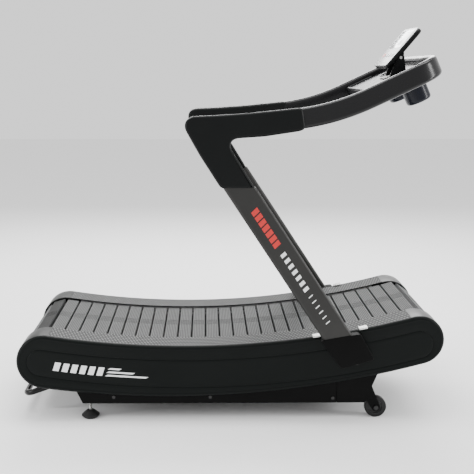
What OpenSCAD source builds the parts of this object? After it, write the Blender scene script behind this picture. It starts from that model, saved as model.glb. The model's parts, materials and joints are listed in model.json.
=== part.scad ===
// Curved manual treadmill: a slatted belt runs in a hollow arc between two side rails.
// +X points to the console end, +Y to the user's left, +Z up. The floor is at Z = 0.

/* [Deck] */
// Radius of the hollow arc that the grips follow
grip_r = 3700; // [3600:10:3800]
// Distance of the arc's centre from the middle of the machine, towards the rear
arc_back = 180; // [170:1:190]
// Height of the arc's centre above the floor
arc_z = 4028; // [4022:1:4034]
// Distance from the middle to the rear drum shaft
rear_reach = 772; // [768:1:776]
// Distance from the middle to the front drum shaft
front_reach = 786; // [782:1:788]
// Radius of the rear end of the side covers
rear_end_r = 115; // [112:1:116]
// Radius of the front end of the side covers
front_end_r = 104; // [102:1:105]
// Radius of the long lower edge of the side covers
under_r = 4000; // [3980:10:4040]

/* [Belt] */
// Number of slats in the belt
slat_count = 60; // [60:1:60]
// Length of a slat across the deck
slat_len = 456; // [448:1:458]
// Width of a slat along the deck
slat_w = 56; // [54:0.5:57]
// Thickness of the rubber tread on a slat
tread_t = 3; // [2:0.5:4]
// Thickness of the aluminium slat under its tread
slat_t = 11; // [9:0.5:12]
// Thickness of the carrier belts
carrier_t = 8; // [6:0.5:8]
// Radius of the rear drum at the middle of the carrier belt
rear_pitch_r = 86; // [86:1:86]
// Radius of the front drum at the middle of the carrier belt
front_pitch_r = 75; // [75:1:75]

/* [Width] */
// Half the width of the gap between the two grips
grip_in = 234; // [233:0.5:235]
// Outer edge of a grip
grip_out = 350; // [348:0.5:350]
// Outer face of a side cover
cover_out = 365; // [364:0.5:366]
// Thickness of an upright tube across the machine
upright_t = 34; // [32:1:34]

/* [Uprights and handrail] */
// Width of an upright tube in side view
upright_w = 111; // [104:1:112]
// Angle of the uprights from the vertical
upright_tilt = 33.4; // [33:0.1:34]
// Inward lean of the uprights
upright_lean = 2.6; // [2.2:0.1:2.8]
// Depth of the handrail tube in side view
rail_h = 82; // [78:1:84]
// Thickness of the handrail tube
rail_t = 36; // [32:1:36]
// Upward slope of the straight front part of the handrail
rail_slope = 25; // [24:0.5:26]
// Corner radius of the handrail loop
loop_corner_r = 110; // [100:1:120]

/* [Console] */
// Width of the console housing
console_w = 262; // [256:1:280]
// Height of the console housing along its face
console_h = 205; // [195:1:210]
// Lean of the console face from the vertical
console_lean = 40; // [38:1:42]

/* [Ground contact] */
// Radius of a transport wheel
wheel_r = 46; // [44:1:46]
// Diameter of a levelling foot
foot_d = 76; // [70:1:78]

/* [Hidden] */
$fn = 96;

arc_x = -arc_back;
cap_start = 749;         // where the grips stop and the end caps begin, each way
shoulder_r = 14;         // rounded edge of the side covers
cover_in = 343;
shell_t = 3;
grip_t = 6;
sit_low = 8;             // the treads lie this far under the grips
belt_r = grip_r + sit_low;
pitch_r = belt_r + tread_t + slat_t + carrier_t / 2;
belt_gap = 3;            // carriers stop this far from where the belt meets a drum
drum_play = 0.5;
carrier_in = 175;
carrier_out = 215;
under_pitch_r = 3882;
plate_in = 233;
plate_t = 6;
shaft_r = 12.5;
seat_r = 26;             // outer radius of a drum shaft bearing
run_gap = 0.05;
beam_in = 296;
beam_out = 336;
beam_low = 74;
beam_high = 144;
beam_rear = -610;
beam_front = 580;
wall = 3;

rear_z = arc_z - sqrt(pow(pitch_r + rear_pitch_r, 2) - pow(arc_x + rear_reach, 2));
front_z = arc_z - sqrt(pow(pitch_r + front_pitch_r, 2) - pow(front_reach - arc_x, 2));
REAR_DRUM = [-rear_reach, rear_z];
FRONT_DRUM = [front_reach, front_z];

// Height of a circle of radius r that touches the underside of an arc of radius top_r
function under_arc_z(x, top_r, r) = arc_z - sqrt(pow(top_r + r, 2) - pow(x - arc_x, 2));
// Upper meeting point of two circles
function upper_meet(p, rp, q, rq) =
    let (d = norm(q - p),
         a = (rp * rp - rq * rq + d * d) / (2 * d),
         h = sqrt(rp * rp - a * a),
         u = (q - p) / d)
    p + a * u + h * [-u[1], u[0]];
function bearing_of(from, to) = atan2(to[1] - from[1], to[0] - from[0]);
function arc_points(c, r, a0, a1, n) = [for (i = [0 : n]) let (a = a0 + (a1 - a0) * i / n)
    c + r * [cos(a), sin(a)]];
UNDER_C = upper_meet([-rear_reach, under_arc_z(-rear_reach, grip_r, rear_end_r)], under_r - rear_end_r,
    [front_reach, under_arc_z(front_reach, grip_r, front_end_r)], under_r - front_end_r);
BELT_C = upper_meet(REAR_DRUM, under_pitch_r - rear_pitch_r, FRONT_DRUM, under_pitch_r - front_pitch_r);
ARC_C = [arc_x, arc_z];

// Directions in which the belt leaves the drums, and the length of each run of the belt
a_top_rear = bearing_of(ARC_C, REAR_DRUM);
a_top_front = bearing_of(ARC_C, FRONT_DRUM);
a_low_rear = bearing_of(BELT_C, REAR_DRUM);
a_low_front = bearing_of(BELT_C, FRONT_DRUM);
rad = PI / 180;
top_run = pitch_r * (a_top_front - a_top_rear) * rad;
front_wrap = front_pitch_r * (180 + a_top_front - a_low_front) * rad;
low_run = under_pitch_r * (a_low_front - a_low_rear) * rad;
rear_wrap = rear_pitch_r * (180 + a_low_rear - a_top_rear) * rad;
slat_pitch = (top_run + front_wrap + low_run + rear_wrap) / slat_count;
first_slat = 0.37 * slat_pitch;
function slat_at(k) = first_slat + k * slat_pitch;
keep_off = slat_pitch / 2;
TOP_SLATS = [for (k = [0 : slat_count - 1]) let (s = slat_at(k)) if (s < top_run + keep_off) s];
FRONT_SLATS = [for (k = [0 : slat_count - 1]) let (s = slat_at(k) - top_run)
    if (s >= keep_off && s <= front_wrap - keep_off) s];
LOW_SLATS = [for (k = [0 : slat_count - 1]) let (s = slat_at(k) - top_run - front_wrap)
    if (s > -keep_off && s < low_run + keep_off) s];
REAR_SLATS = [for (k = [0 : slat_count - 1]) let (s = slat_at(k) - top_run - front_wrap - low_run)
    if (s >= keep_off) s];

// A closed outline of the deck in side view: hollow arc on top, two round ends, bulging arc below
module deck_outline(top_r, rear_x, rear_r, front_x, front_r, low_r) {
    rear = [rear_x, under_arc_z(rear_x, top_r, rear_r)];
    front = [front_x, under_arc_z(front_x, top_r, front_r)];
    low = upper_meet(rear, low_r - rear_r, front, low_r - front_r);
    polygon(concat(
        arc_points(ARC_C, top_r, bearing_of(ARC_C, rear), bearing_of(ARC_C, front), 24),
        arc_points(front, front_r, bearing_of(ARC_C, front) + 180, bearing_of(low, front), 20),
        arc_points(low, low_r, bearing_of(low, front), bearing_of(low, rear), 24),
        arc_points(rear, rear_r, bearing_of(low, rear) + 360, bearing_of(ARC_C, rear) + 180, 20)));
}
module cover_outline(inset) {
    deck_outline(grip_r + inset, -rear_reach, rear_end_r - inset, front_reach, front_end_r - inset,
        under_r - inset);
}

// Stands a side-view shape up in the XZ plane, from y0 to y1
module side_slab(y0, y1) {
    translate([0, y1, 0]) rotate([90, 0, 0]) linear_extrude(y1 - y0) children();
}
// Sweeps a profile drawn as [radius, y] about a centre in side view, between two directions
module side_sweep(c, a0, a1) {
    translate([c[0], 0, c[1]]) rotate([90, 0, 0]) rotate([0, 0, a0]) mirror([0, 0, 1])
        rotate_extrude(angle = a1 - a0, $fn = 720) children();
}
module band(r0, r1, y0, y1) {
    translate([r0, y0]) square([r1 - r0, y1 - y0]);
}
// Draws its children on the user's left (side = 1) or right (side = -1)
module on_side(side) {
    mirror([0, side < 0 ? 1 : 0, 0]) children();
}
module both_sides() {
    on_side(1) children();
    on_side(-1) children();
}
function deck_angle(x, r) = -acos((x - arc_x) / r);
module cross_cyl(x, z, r, y0, y1) {
    translate([x, y0, z]) rotate([-90, 0, 0]) cylinder(r = r, h = y1 - y0);
}

// ---- frame ----
cross_xs = [-590, -220, 180, 550];
frame_cross_w = 60;
frame_cross_h = 34;
post_xs = [-520, 20, 430];
module box_tube(size) {
    difference() {
        cube(size);
        translate([wall, wall, wall]) cube(size - 2 * [wall, wall, wall]);
    }
}
foot_x = -590;
foot_y = 312;
stud_r = 6;
wheel_x = 621;
wheel_y = 316;
module base_frame() {
    color("#2b2b2a") difference() {
        union() {
            both_sides() translate([beam_rear, beam_in, beam_low])
                box_tube([beam_front - beam_rear, beam_out - beam_in, beam_high - beam_low]);
            for (x = cross_xs)
                translate([x - frame_cross_w / 2, -beam_in, beam_low])
                    box_tube([frame_cross_w, 2 * beam_in, frame_cross_h]);
            both_sides() for (x = post_xs)
                translate([x, plate_in + plate_t, beam_high - 40])
                    cube([70, beam_in - plate_in - plate_t, 36]);
        }
        both_sides() translate([foot_x, foot_y, beam_low - 1])
            cylinder(r = stud_r + 0.3, h = beam_high - beam_low + 2);
    }
}
window_count = 8;        // slots that lighten each frame plate
window_first = -6.6;
window_step = 2.6;
window_arc = 3812;
window_len = 76;
window_r = 26;
module frame_plates() {
    color("#343433") both_sides() side_slab(plate_in, plate_in + plate_t) difference() {
        cover_outline(24);
        translate(REAR_DRUM) circle(r = seat_r);
        translate(FRONT_DRUM) circle(r = seat_r);
        for (i = [0 : window_count - 1])
            translate(ARC_C) rotate(window_first + i * window_step) translate([0, -window_arc]) {
                square([window_len, 2 * window_r], center = true);
                for (x = [-window_len / 2, window_len / 2]) translate([x, 0]) circle(r = window_r);
            }
    }
}
guide_pitch = 60;
guide_drop = 0.3;
guide_r = 13;
guide_bolt_r = 4;
guide_y = 198;
guide_w = 12;
guide_arc = pitch_r + carrier_t / 2 + guide_drop + guide_r;
guide_n = 23;
guide_first = 76;
function guide_dir(i) = a_top_rear + (guide_first + i * guide_pitch) / pitch_r / rad;
module guide_rails() {
    color("#3b3c3c") both_sides() {
        side_sweep(ARC_C, guide_dir(0) - 0.3, guide_dir(guide_n) + 0.3)
            band(guide_arc - 12, guide_arc + 14, guide_y + guide_w + 8, plate_in);
        for (i = [0 : guide_n])
            cross_cyl(arc_x + guide_arc * cos(guide_dir(i)), arc_z + guide_arc * sin(guide_dir(i)),
                guide_bolt_r, guide_y - 6, guide_y + guide_w + 8);
    }
}
module guide_bearings() {
    color("#b9bcc0") both_sides() for (i = [0 : guide_n])
        translate([arc_x + guide_arc * cos(guide_dir(i)), guide_y, arc_z + guide_arc * sin(guide_dir(i))])
            rotate([-90, 0, 0]) difference() {
                cylinder(r = guide_r, h = guide_w);
                translate([0, 0, -1]) cylinder(r = guide_bolt_r, h = guide_w + 2);
            }
}
module shaft_bearings() {
    color("#c5c7c9") both_sides() for (c = [REAR_DRUM, FRONT_DRUM])
        translate([c[0], plate_in - 4, c[1]]) rotate([-90, 0, 0]) difference() {
            cylinder(r = seat_r, h = plate_t + 8);
            translate([0, 0, -1]) cylinder(r = shaft_r + run_gap, h = plate_t + 10);
        }
}

// ---- rear lift handle: a bent round bar that the machine is tipped with ----
bar_r = 12.5;
handle_half = plate_in + plate_t + bar_r;
handle_bend = 40;
handle_back = -877.5;
handle_low = 76;
handle_rise = 20;
handle_arm = 290;
module rear_lift_handle() {
    color("#31312f") translate([handle_back, 0, handle_low]) rotate([0, -handle_rise, 0]) {
        rotate([90, 0, 0]) translate([0, 0, -(handle_half - handle_bend)])
            cylinder(r = bar_r, h = 2 * (handle_half - handle_bend));
        both_sides() {
            translate([handle_bend, handle_half - handle_bend, 0]) rotate([0, 0, 90])
                rotate_extrude(angle = 90) translate([handle_bend, 0]) circle(r = bar_r);
            translate([handle_bend, handle_half, 0]) rotate([0, 90, 0])
                cylinder(r = bar_r, h = handle_arm - handle_bend);
        }
    }
}

// ---- lower panels ----
panel_out = 341.6;
panel_t = 3;
panel_low = 71;
seam_x = 452;
seam_gap = 2;
screw_xs = [-487, -81, 436];
screw_zs = [99, 98, 92];
module lower_panels() {
    color("#2a2a29") both_sides() side_slab(panel_out - panel_t, panel_out) difference() {
        polygon([[-666, 175], [-618, panel_low], [570, panel_low], [628, 212], [500, 212], [0, 160],
            [-400, 152]]);
        translate([seam_x - seam_gap / 2, 0]) square([seam_gap, 400]);
        for (i = [0 : 2]) translate([screw_xs[i], screw_zs[i]]) circle(r = 4);
    }
}
module panel_screws() {
    color("#8d8f90") both_sides() for (i = [0 : 2]) {
        cross_cyl(screw_xs[i], screw_zs[i], 3.6, beam_out, panel_out);
        cross_cyl(screw_xs[i], screw_zs[i], 7, panel_out, panel_out + 3);
    }
}

// ---- side covers, grips and caps ----
shoulder_steps = 5;
upright_base = [441, 375];
spacer_r = 15;
UPRIGHT_BOLTS = [[458, 300], [520, 318]];
module spacer_holes() {
    for (p = UPRIGHT_BOLTS) translate(p) circle(r = spacer_r + 0.4);
}
module side_cover(side) {
    color("#262a28") on_side(side) difference() {
        union() {
            side_slab(cover_in, grip_out + 0.3) cover_outline(grip_t + 0.4);
            for (i = [0 : shoulder_steps - 1])
                side_slab(cover_out - shoulder_r
                    + (i == 0 ? -0.7 : shoulder_r * sin(90 * i / shoulder_steps)),
                    cover_out - shoulder_r + shoulder_r * sin(90 * (i + 1) / shoulder_steps))
                    cover_outline(shoulder_r * (1 - cos(90 * (i + 0.5) / shoulder_steps)));
        }
        side_slab(cover_in - 1, cover_out - shell_t) cover_outline(grip_t + shell_t + 1);
        side_slab(cover_out - shell_t - 1, cover_out + 1) spacer_holes();
    }
}
module side_cover_left() { side_cover(1); }
module side_cover_right() { side_cover(-1); }
module grip(side) {
    color("#787878") on_side(side)
        side_sweep(ARC_C, -180 - deck_angle(cap_start + 2 * arc_x, grip_r), deck_angle(cap_start, grip_r))
            band(grip_r, grip_r + grip_t, grip_in + 2, grip_out);
}
module grip_left() { grip(1); }
module grip_right() { grip(-1); }
step_r = grip_r + grip_t + run_gap;
module step_rails() {
    color("#9a9c9d") both_sides()
        side_sweep(ARC_C, deck_angle(-700, grip_r), deck_angle(700, grip_r)) {
            band(step_r, step_r + 4, 242, 338);
            band(step_r, step_r + 34, 242, 246);
            band(step_r, step_r + 34, 334, 338);
        }
}
cap_t = 4;
cap_in = plate_in + plate_t + 1;
module cap_shell(x, r, a0, a1, b0, b1) {
    c = [x, under_arc_z(x, grip_r, r)];
    side_sweep(ARC_C, a0, a1) band(grip_r, grip_r + cap_t, grip_in, grip_out);
    side_sweep(c, b0, b1) band(r - cap_t, r, grip_in, grip_out);
}
cap_low_rear = 255;
cap_low_front = -72;
module rear_cap(side) {
    top = bearing_of(ARC_C, [-rear_reach, under_arc_z(-rear_reach, grip_r, rear_end_r)]);
    color("#858583") on_side(side)
        cap_shell(-rear_reach, rear_end_r, top, deck_angle(-cap_start, grip_r) - 0.01,
            top + 180, cap_low_rear);
}
module front_cap(side) {
    top = bearing_of(ARC_C, [front_reach, under_arc_z(front_reach, grip_r, front_end_r)]);
    color("#c4c4c2") on_side(side)
        cap_shell(front_reach, front_end_r, deck_angle(cap_start, grip_r) + 0.01, top,
            cap_low_front, top + 180);
}
module rear_cap_left() { rear_cap(1); }
module rear_cap_right() { rear_cap(-1); }
module front_cap_left() { front_cap(1); }
module front_cap_right() { front_cap(-1); }

// ---- belt ----
rib_d = 16;
rib_w = 8;
rib_half = 160;
slat_wall = 2;           // wall of the hollow slats
chamber_w = (slat_w - 3 * slat_wall) / 2;
slat_seat = slat_w * slat_w / 8 / pitch_r + 0.02;   // keeps the flat slats out of the hollow carriers
// Places a slat whose pitch line is at radius r from c in direction a; outward is the tread side
module at_run(c, r, a, outward) {
    translate([c[0] + r * cos(a), 0, c[1] + r * sin(a)]) rotate([0, -a + (outward > 0 ? 90 : -90), 0])
        children();
}
module slat() {
    difference() {
        translate([-slat_w / 2, -slat_len / 2, carrier_t / 2]) cube([slat_w, slat_len, slat_t]);
        for (x = [-slat_w / 2 + slat_wall, slat_wall / 2])
            translate([x, -slat_len / 2 - 1, carrier_t / 2 + slat_wall])
                cube([chamber_w, slat_len + 2, slat_t - 2 * slat_wall]);
    }
    translate([-rib_w / 2, -rib_half, carrier_t / 2 - rib_d]) cube([rib_w, 2 * rib_half, rib_d]);
}
module tread() {
    translate([-slat_w / 2, -slat_len / 2, carrier_t / 2 + slat_t]) cube([slat_w, slat_len, tread_t]);
}
module top_places() {
    for (s = TOP_SLATS)
        at_run(ARC_C, pitch_r - slat_seat, a_top_rear + s / pitch_r / rad, -1) children();
}
module low_places() {
    for (s = LOW_SLATS) at_run(BELT_C, under_pitch_r, a_low_front - s / under_pitch_r / rad, 1) children();
}
module front_places() {
    for (s = FRONT_SLATS)
        at_run(FRONT_DRUM, front_pitch_r - drum_play, a_top_front + 180 - s / front_pitch_r / rad, 1)
            children();
}
module rear_places() {
    for (s = REAR_SLATS)
        at_run(REAR_DRUM, rear_pitch_r - drum_play, a_low_rear - s / rear_pitch_r / rad, 1) children();
}
module carrier_pair(r) {
    band(r - carrier_t / 2, r + carrier_t / 2, carrier_in, carrier_out);
    band(r - carrier_t / 2, r + carrier_t / 2, -carrier_out, -carrier_in);
}
function gap_deg(r) = belt_gap / r / rad;
module carriers_top() {
    color("#1c1c1c") side_sweep(ARC_C, a_top_rear + gap_deg(pitch_r), a_top_front - gap_deg(pitch_r))
        carrier_pair(pitch_r);
}
module slats_top() { color("#8b8d8f") top_places() slat(); }
module treads_top() { color("#6f706f") top_places() tread(); }
module carriers_bottom() {
    color("#1c1c1c") side_sweep(BELT_C, a_low_rear + gap_deg(under_pitch_r),
        a_low_front - gap_deg(under_pitch_r)) carrier_pair(under_pitch_r);
}
module slats_bottom() { color("#8b8d8f") low_places() slat(); }
module treads_bottom() { color("#6f706f") low_places() tread(); }
module drum_shaft(c) {
    cross_cyl(c[0], c[1], shaft_r, -plate_in - plate_t - 8, plate_in + plate_t + 8);
}
module drum_pulleys(c, r) {
    both_sides() translate([c[0], carrier_in - 2, c[1]]) rotate([-90, 0, 0]) difference() {
        cylinder(r = r, h = carrier_out - carrier_in + 4);
        translate([0, 0, -1]) cylinder(r = shaft_r, h = carrier_out - carrier_in + 6);
    }
}
module front_shaft() { color("#a9acae") drum_shaft(FRONT_DRUM); }
module front_pulleys() {
    color("#2f2f2f") drum_pulleys(FRONT_DRUM, front_pitch_r - drum_play - carrier_t / 2);
}
module carriers_front() {
    color("#1c1c1c") side_sweep(FRONT_DRUM, a_low_front + gap_deg(front_pitch_r),
        a_top_front + 180 - gap_deg(front_pitch_r)) carrier_pair(front_pitch_r - drum_play);
}
module slats_front() { color("#8b8d8f") front_places() slat(); }
module treads_front() { color("#6f706f") front_places() tread(); }
module rear_shaft() { color("#a9acae") drum_shaft(REAR_DRUM); }
module rear_pulleys() { color("#2f2f2f") drum_pulleys(REAR_DRUM, rear_pitch_r - drum_play - carrier_t / 2); }
module carriers_rear() {
    color("#1c1c1c") side_sweep(REAR_DRUM, a_top_rear + 180 + gap_deg(rear_pitch_r),
        a_low_rear + 360 - gap_deg(rear_pitch_r)) carrier_pair(rear_pitch_r - drum_play);
}
module slats_rear() { color("#8b8d8f") rear_places() slat(); }
module treads_rear() { color("#6f706f") rear_places() tread(); }

// ---- uprights and handrail ----
upright_y = 385;
upright_foot_cut = 262;
elbow_cut_z = 992;
sleeve_t = 3;
rail_y = 340;
rail_start = [288.5, 1262.5];
rail_first_slope = 8.5;
rail_bend_r = 950;
loop_run = 300;
module rounded_bar(w, d, r) {
    square([w - 2 * r, d], center = true);
    square([w, d - 2 * r], center = true);
    for (x = [-1, 1], y = [-1, 1]) translate([x * (w / 2 - r), y * (d / 2 - r)]) circle(r = r, $fn = 48);
}
tube_corner = 12;
tube_wall = 3;
rail_corner = 16;
module upright_prism(grow) {
    translate([upright_base[0], upright_y, upright_base[1]]) rotate([upright_lean, 0, 0])
        rotate([0, -upright_tilt, 0]) translate([0, 0, -140])
            linear_extrude(1180) rounded_bar(upright_w + 2 * grow, upright_t + 2 * grow, tube_corner + grow);
}
module upright_span() {
    translate([-400, 300, upright_foot_cut]) cube([1200, 130, elbow_cut_z - 1 - upright_foot_cut]);
}
module upright(side) {
    color("#383836") on_side(side) difference() {
        intersection() {
            upright_prism(0);
            upright_span();
        }
        upright_prism(-tube_wall);
    }
}
module upright_left() { upright(1); }
module upright_right() { upright(-1); }

FOOT_OUTLINE = [[369, 365], [532, 394], [594, 283], [459, 244]];
module upright_feet() {
    color("#2e2e2d") both_sides() difference() {
        side_slab(cover_out + 0.4, cover_out + 43) polygon(FOOT_OUTLINE);
        intersection() {
            upright_prism(0.15);
            translate([0, 0, upright_foot_cut - 0.15]) translate([-400, 300, 0]) cube([1200, 130, 400]);
        }
        side_slab(cover_out, cover_out + 8) for (p = UPRIGHT_BOLTS) translate(p) circle(r = 6.4);
    }
}
tab_xs = [361, 552];
tab_in = 334;
tab_w = 34;
tab_t = 6;
module foot_plates() {
    color("#c9cacb") both_sides() for (x = tab_xs)
        at_run(ARC_C, grip_r - 0.06, deck_angle(x, grip_r), -1)
            translate([-tab_w / 2, tab_in, 0]) cube([tab_w, cover_out + 0.4 - tab_in, tab_t]);
}
module upright_bolts() {
    color("#b4b6b8") both_sides() for (p = UPRIGHT_BOLTS)
        translate([p[0], 0, p[1]]) {
            cross_cyl(0, 0, 6, plate_in + plate_t, cover_out + 5);
            translate([0, plate_in + plate_t, 0]) rotate([-90, 0, 0]) difference() {
                cylinder(r = spacer_r, h = cover_out - plate_in - plate_t);
                translate([0, 0, -1]) cylinder(r = 6, h = cover_out);
            }
        }
}

// Side view of an elbow sleeve: it wraps the bend between an upright and the handrail
module elbow_outline() {
    polygon(concat([[-42, elbow_cut_z], [-121, 1115]],
        arc_points([-144, 1233], 38, 210, 95, 10),
        [[-48, 1275], [72, 1283], [193, 1295], [282, 1304.5], [295, 1220.5], [275, 1212], [134, 1191]],
        arc_points([26, 1156], 28, 90, 200, 8),
        [[94, elbow_cut_z]]));
}
elbow_z = 1240;
elbow_y = 343;
elbow_half = 24;
module elbow_sleeve(side) {
    color("#1b1c1c") on_side(side) difference() {
        translate([0, elbow_y, elbow_z]) rotate([upright_lean, 0, 0]) translate([0, 0, -elbow_z])
            side_slab(-elbow_half, elbow_half) elbow_outline();
        arm_shape(0);
    }
}
module elbow_sleeve_left() { elbow_sleeve(1); }
module elbow_sleeve_right() { elbow_sleeve(-1); }

BEND_C = rail_start + rail_bend_r * [-sin(rail_first_slope), cos(rail_first_slope)];
BEND_END = BEND_C + rail_bend_r * [sin(rail_slope), -cos(rail_slope)];
grip_len = 420;
module rail_profile(grow) {
    rounded_bar(rail_h + 2 * grow, rail_t + 2 * grow, rail_corner + grow);
}
spigot_low = 900;
spigot_high = 1225;
rail_wall = 3;
// The solid shape of the handrail on one side, drawn smaller by inset to hollow it out: a spigot
// that plugs into the upright, the straight grip part, and the bend up to the loop
module arm_shape(inset) {
    intersection() {
        upright_prism(-tube_wall - 0.2 - inset);
        translate([-400, 300, spigot_low - inset]) cube([1200, 130, spigot_high - spigot_low]);
    }
    translate([rail_start[0], rail_y, rail_start[1]]) rotate([0, -90 - rail_first_slope, 0])
        translate([0, 0, -0.02]) linear_extrude(grip_len - inset) rail_profile(-rail_wall - inset);
    translate([0, rail_y, 0])
        side_sweep(BEND_C, -90 + rail_first_slope - 0.02 * inset, -90 + rail_slope + 0.1 * inset)
            translate([rail_bend_r, 0]) rail_profile(-inset);
}
module handrail_arms() {
    color("#2f2f30") both_sides() difference() {
        arm_shape(0);
        arm_shape(rail_wall);
    }
}
module loop_shape(inset) {
    both_sides() {
        translate([-inset, rail_y, 0]) rotate([0, 90, 0]) linear_extrude(loop_run - loop_corner_r + inset)
            rail_profile(-inset);
        translate([loop_run - loop_corner_r, rail_y - loop_corner_r, 0])
            rotate_extrude(angle = 90) translate([loop_corner_r, 0]) rotate(90) rail_profile(-inset);
    }
    translate([loop_run, rail_y - loop_corner_r, 0]) rotate([90, 0, 0])
        linear_extrude(2 * (rail_y - loop_corner_r)) rotate(90) rail_profile(-inset);
}
module handrail_loop() {
    color("#2f2f30") in_loop() difference() {
        loop_shape(0);
        loop_shape(rail_wall);
    }
}

// ---- console ----
tray_start = 24;
tray_end = loop_run - rail_t / 2 - 0.5;
tray_half = rail_y - rail_t / 2 - 1;
tray_top = 12;
tray_t = 5;
belly_start = 70;
belly_len = 80;
belly_half = 95;
belly_low = 50;
cup_y = 159;
cup_r = 52;
cup_wall = 3;
cup_s = 208;
cup_depth = 132;
module in_loop() {
    translate([BEND_END[0], 0, BEND_END[1]]) rotate([0, -rail_slope, 0]) children();
}
module console_tray() {
    color("#2b2c2e") in_loop() difference() {
        union() {
            translate([tray_start, -tray_half, tray_top - tray_t])
                cube([tray_end - tray_start, 2 * tray_half, tray_t]);
            translate([tray_start, -tray_half, tray_top - 30]) cube([6, 2 * tray_half, 30]);
            translate([belly_start, -belly_half, -belly_low])
                cube([belly_len, 2 * belly_half, belly_low + 8]);
        }
        for (y = [-cup_y, cup_y]) translate([cup_s, y, 0]) cylinder(r = cup_r + 0.2, h = 60);
        for (y = [-1, 1]) translate([loop_run - loop_corner_r, y * (rail_y - loop_corner_r), -50])
            difference() {
                translate([0, y > 0 ? 0 : -400, 0]) cube([400, 400, 100]);
                translate([0, 0, -1]) cylinder(r = loop_corner_r - rail_t / 2 - 1, h = 102);
            }
    }
}
module bottle_cup(side) {
    color("#191c24") on_side(side) in_loop() translate([cup_s, cup_y, tray_top - cup_depth]) difference() {
        union() {
            cylinder(r = cup_r, h = cup_depth);
            translate([0, 0, cup_depth]) cylinder(r = cup_r + 4, h = 3);
        }
        translate([0, 0, cup_wall]) cylinder(r = cup_r - cup_wall, h = cup_depth + 5);
    }
}
module bottle_cup_left() { bottle_cup(1); }
module bottle_cup_right() { bottle_cup(-1); }
pin_x = 728;
pin_z = 1500;
pin_r = 6;
knuckle_r = 16;
console_low = [648, 1466];
function tray_z(x) = BEND_END[1] + tray_top * cos(rail_slope)
    + (x - BEND_END[0] + tray_top * sin(rail_slope)) * tan(rail_slope);
console_t = 22;
ear_y = 42;
ear_w = 10;
pad_start = 134;
pad_len = 94;
pad_half = ear_y + ear_w + 4;
module console_bracket() {
    color("#2d2e2f") {
        both_sides() difference() {
            union() {
                cross_cyl(pin_x, pin_z, knuckle_r, ear_y, ear_y + ear_w);
                side_slab(ear_y, ear_y + ear_w) polygon([[pin_x - knuckle_r + 1, pin_z],
                    [pin_x + knuckle_r - 1, pin_z], [pin_x + 24, tray_z(pin_x + 24) + 2],
                    [pin_x - 45, tray_z(pin_x - 45) + 2]]);
            }
            cross_cyl(pin_x, pin_z, pin_r, 0, 100);
        }
        in_loop() translate([pad_start, -pad_half, tray_top]) cube([pad_len, 2 * pad_half, 5]);
    }
}
module console_pin() {
    color("#9c9ea0") cross_cyl(pin_x, pin_z, pin_r, -ear_y - ear_w - 4, ear_y + ear_w + 4);
}
module at_console() {
    translate([console_low[0], 0, console_low[1]]) rotate([0, console_lean, 0]) children();
}
screen_w = 210;
screen_h = 96;
screen_z = 96;
button_z = 58;
button_w = 34;
button_h = 18;
button_in = 3;
button_ys = [-78, -26, 26, 78];
module console_housing() {
    color("#a9abac") difference() {
        union() {
            at_console() translate([0, -console_w / 2, 0]) rotate([90, 0, 90]) linear_extrude(console_t)
                translate([console_w / 2, console_h / 2]) rounded_bar(console_w, console_h, 26);
            both_sides() {
                cross_cyl(pin_x, pin_z, knuckle_r - 2, 8, ear_y - 1);
                side_slab(8, ear_y - 1) polygon([[pin_x, pin_z - knuckle_r + 2], [pin_x - 36, pin_z - 14],
                    [pin_x + 2, pin_z + 34], [pin_x + 14, pin_z + 6]]);
            }
        }
        cross_cyl(pin_x, pin_z, pin_r + run_gap, -100, 100);
        at_console() {
            translate([-1, -screen_w / 2, screen_z]) cube([4, screen_w, screen_h]);
            for (y = button_ys)
                translate([-1, y - button_w / 2 - 0.4, button_z - button_h / 2 - 0.4])
                    cube([9, button_w + 0.8, button_h + 0.8]);
        }
    }
}
module console_screen() {
    color("#202326") at_console() translate([0.5, -screen_w / 2, screen_z]) cube([2.5, screen_w, screen_h]);
}
module button(i) {
    color("#d8d9d9") at_console()
        translate([-button_in + 1, button_ys[i] - button_w / 2, button_z - button_h / 2])
            cube([button_in + 5, button_w, button_h]);
}
module button_up() { button(0); }
module button_down() { button(1); }
module button_start() { button(2); }
module button_stop() { button(3); }

// ---- ground contact ----
pad_sole = 8;            // heights of the pad's tapered sole, its flat edge and its top
pad_edge = 4;
pad_top = 22;
module foot_pad(side) {
    color("#1d1d1d") on_side(side) translate([foot_x, foot_y, 0]) {
        cylinder(r1 = foot_d / 2 - 8, r2 = foot_d / 2, h = pad_sole);
        translate([0, 0, pad_sole]) cylinder(d = foot_d, h = pad_edge);
        translate([0, 0, pad_sole + pad_edge]) cylinder(r1 = foot_d / 2 - 1, r2 = 12, h = pad_top);
        cylinder(r = stud_r, h = 128);
    }
}
module foot_pad_left() { foot_pad(1); }
module foot_pad_right() { foot_pad(-1); }
module foot_nuts() {
    color("#b8babc") both_sides() translate([foot_x, foot_y, beam_low - 8]) difference() {
        cylinder(r = 11, h = 8, $fn = 6);
        translate([0, 0, -1]) cylinder(r = stud_r + run_gap, h = 10);
    }
}
axle_r = 6;
wheel_w = 30;
module wheel(side) {
    color("#232323") on_side(side) translate([wheel_x, wheel_y - wheel_w / 2, wheel_r]) rotate([-90, 0, 0])
        difference() {
            cylinder(r = wheel_r, h = wheel_w);
            translate([0, 0, -1]) cylinder(r = axle_r + run_gap, h = wheel_w + 2);
        }
}
module wheel_left() { wheel(1); }
module wheel_right() { wheel(-1); }
fork_gap = 1.5;
fork_t = 4;
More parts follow.
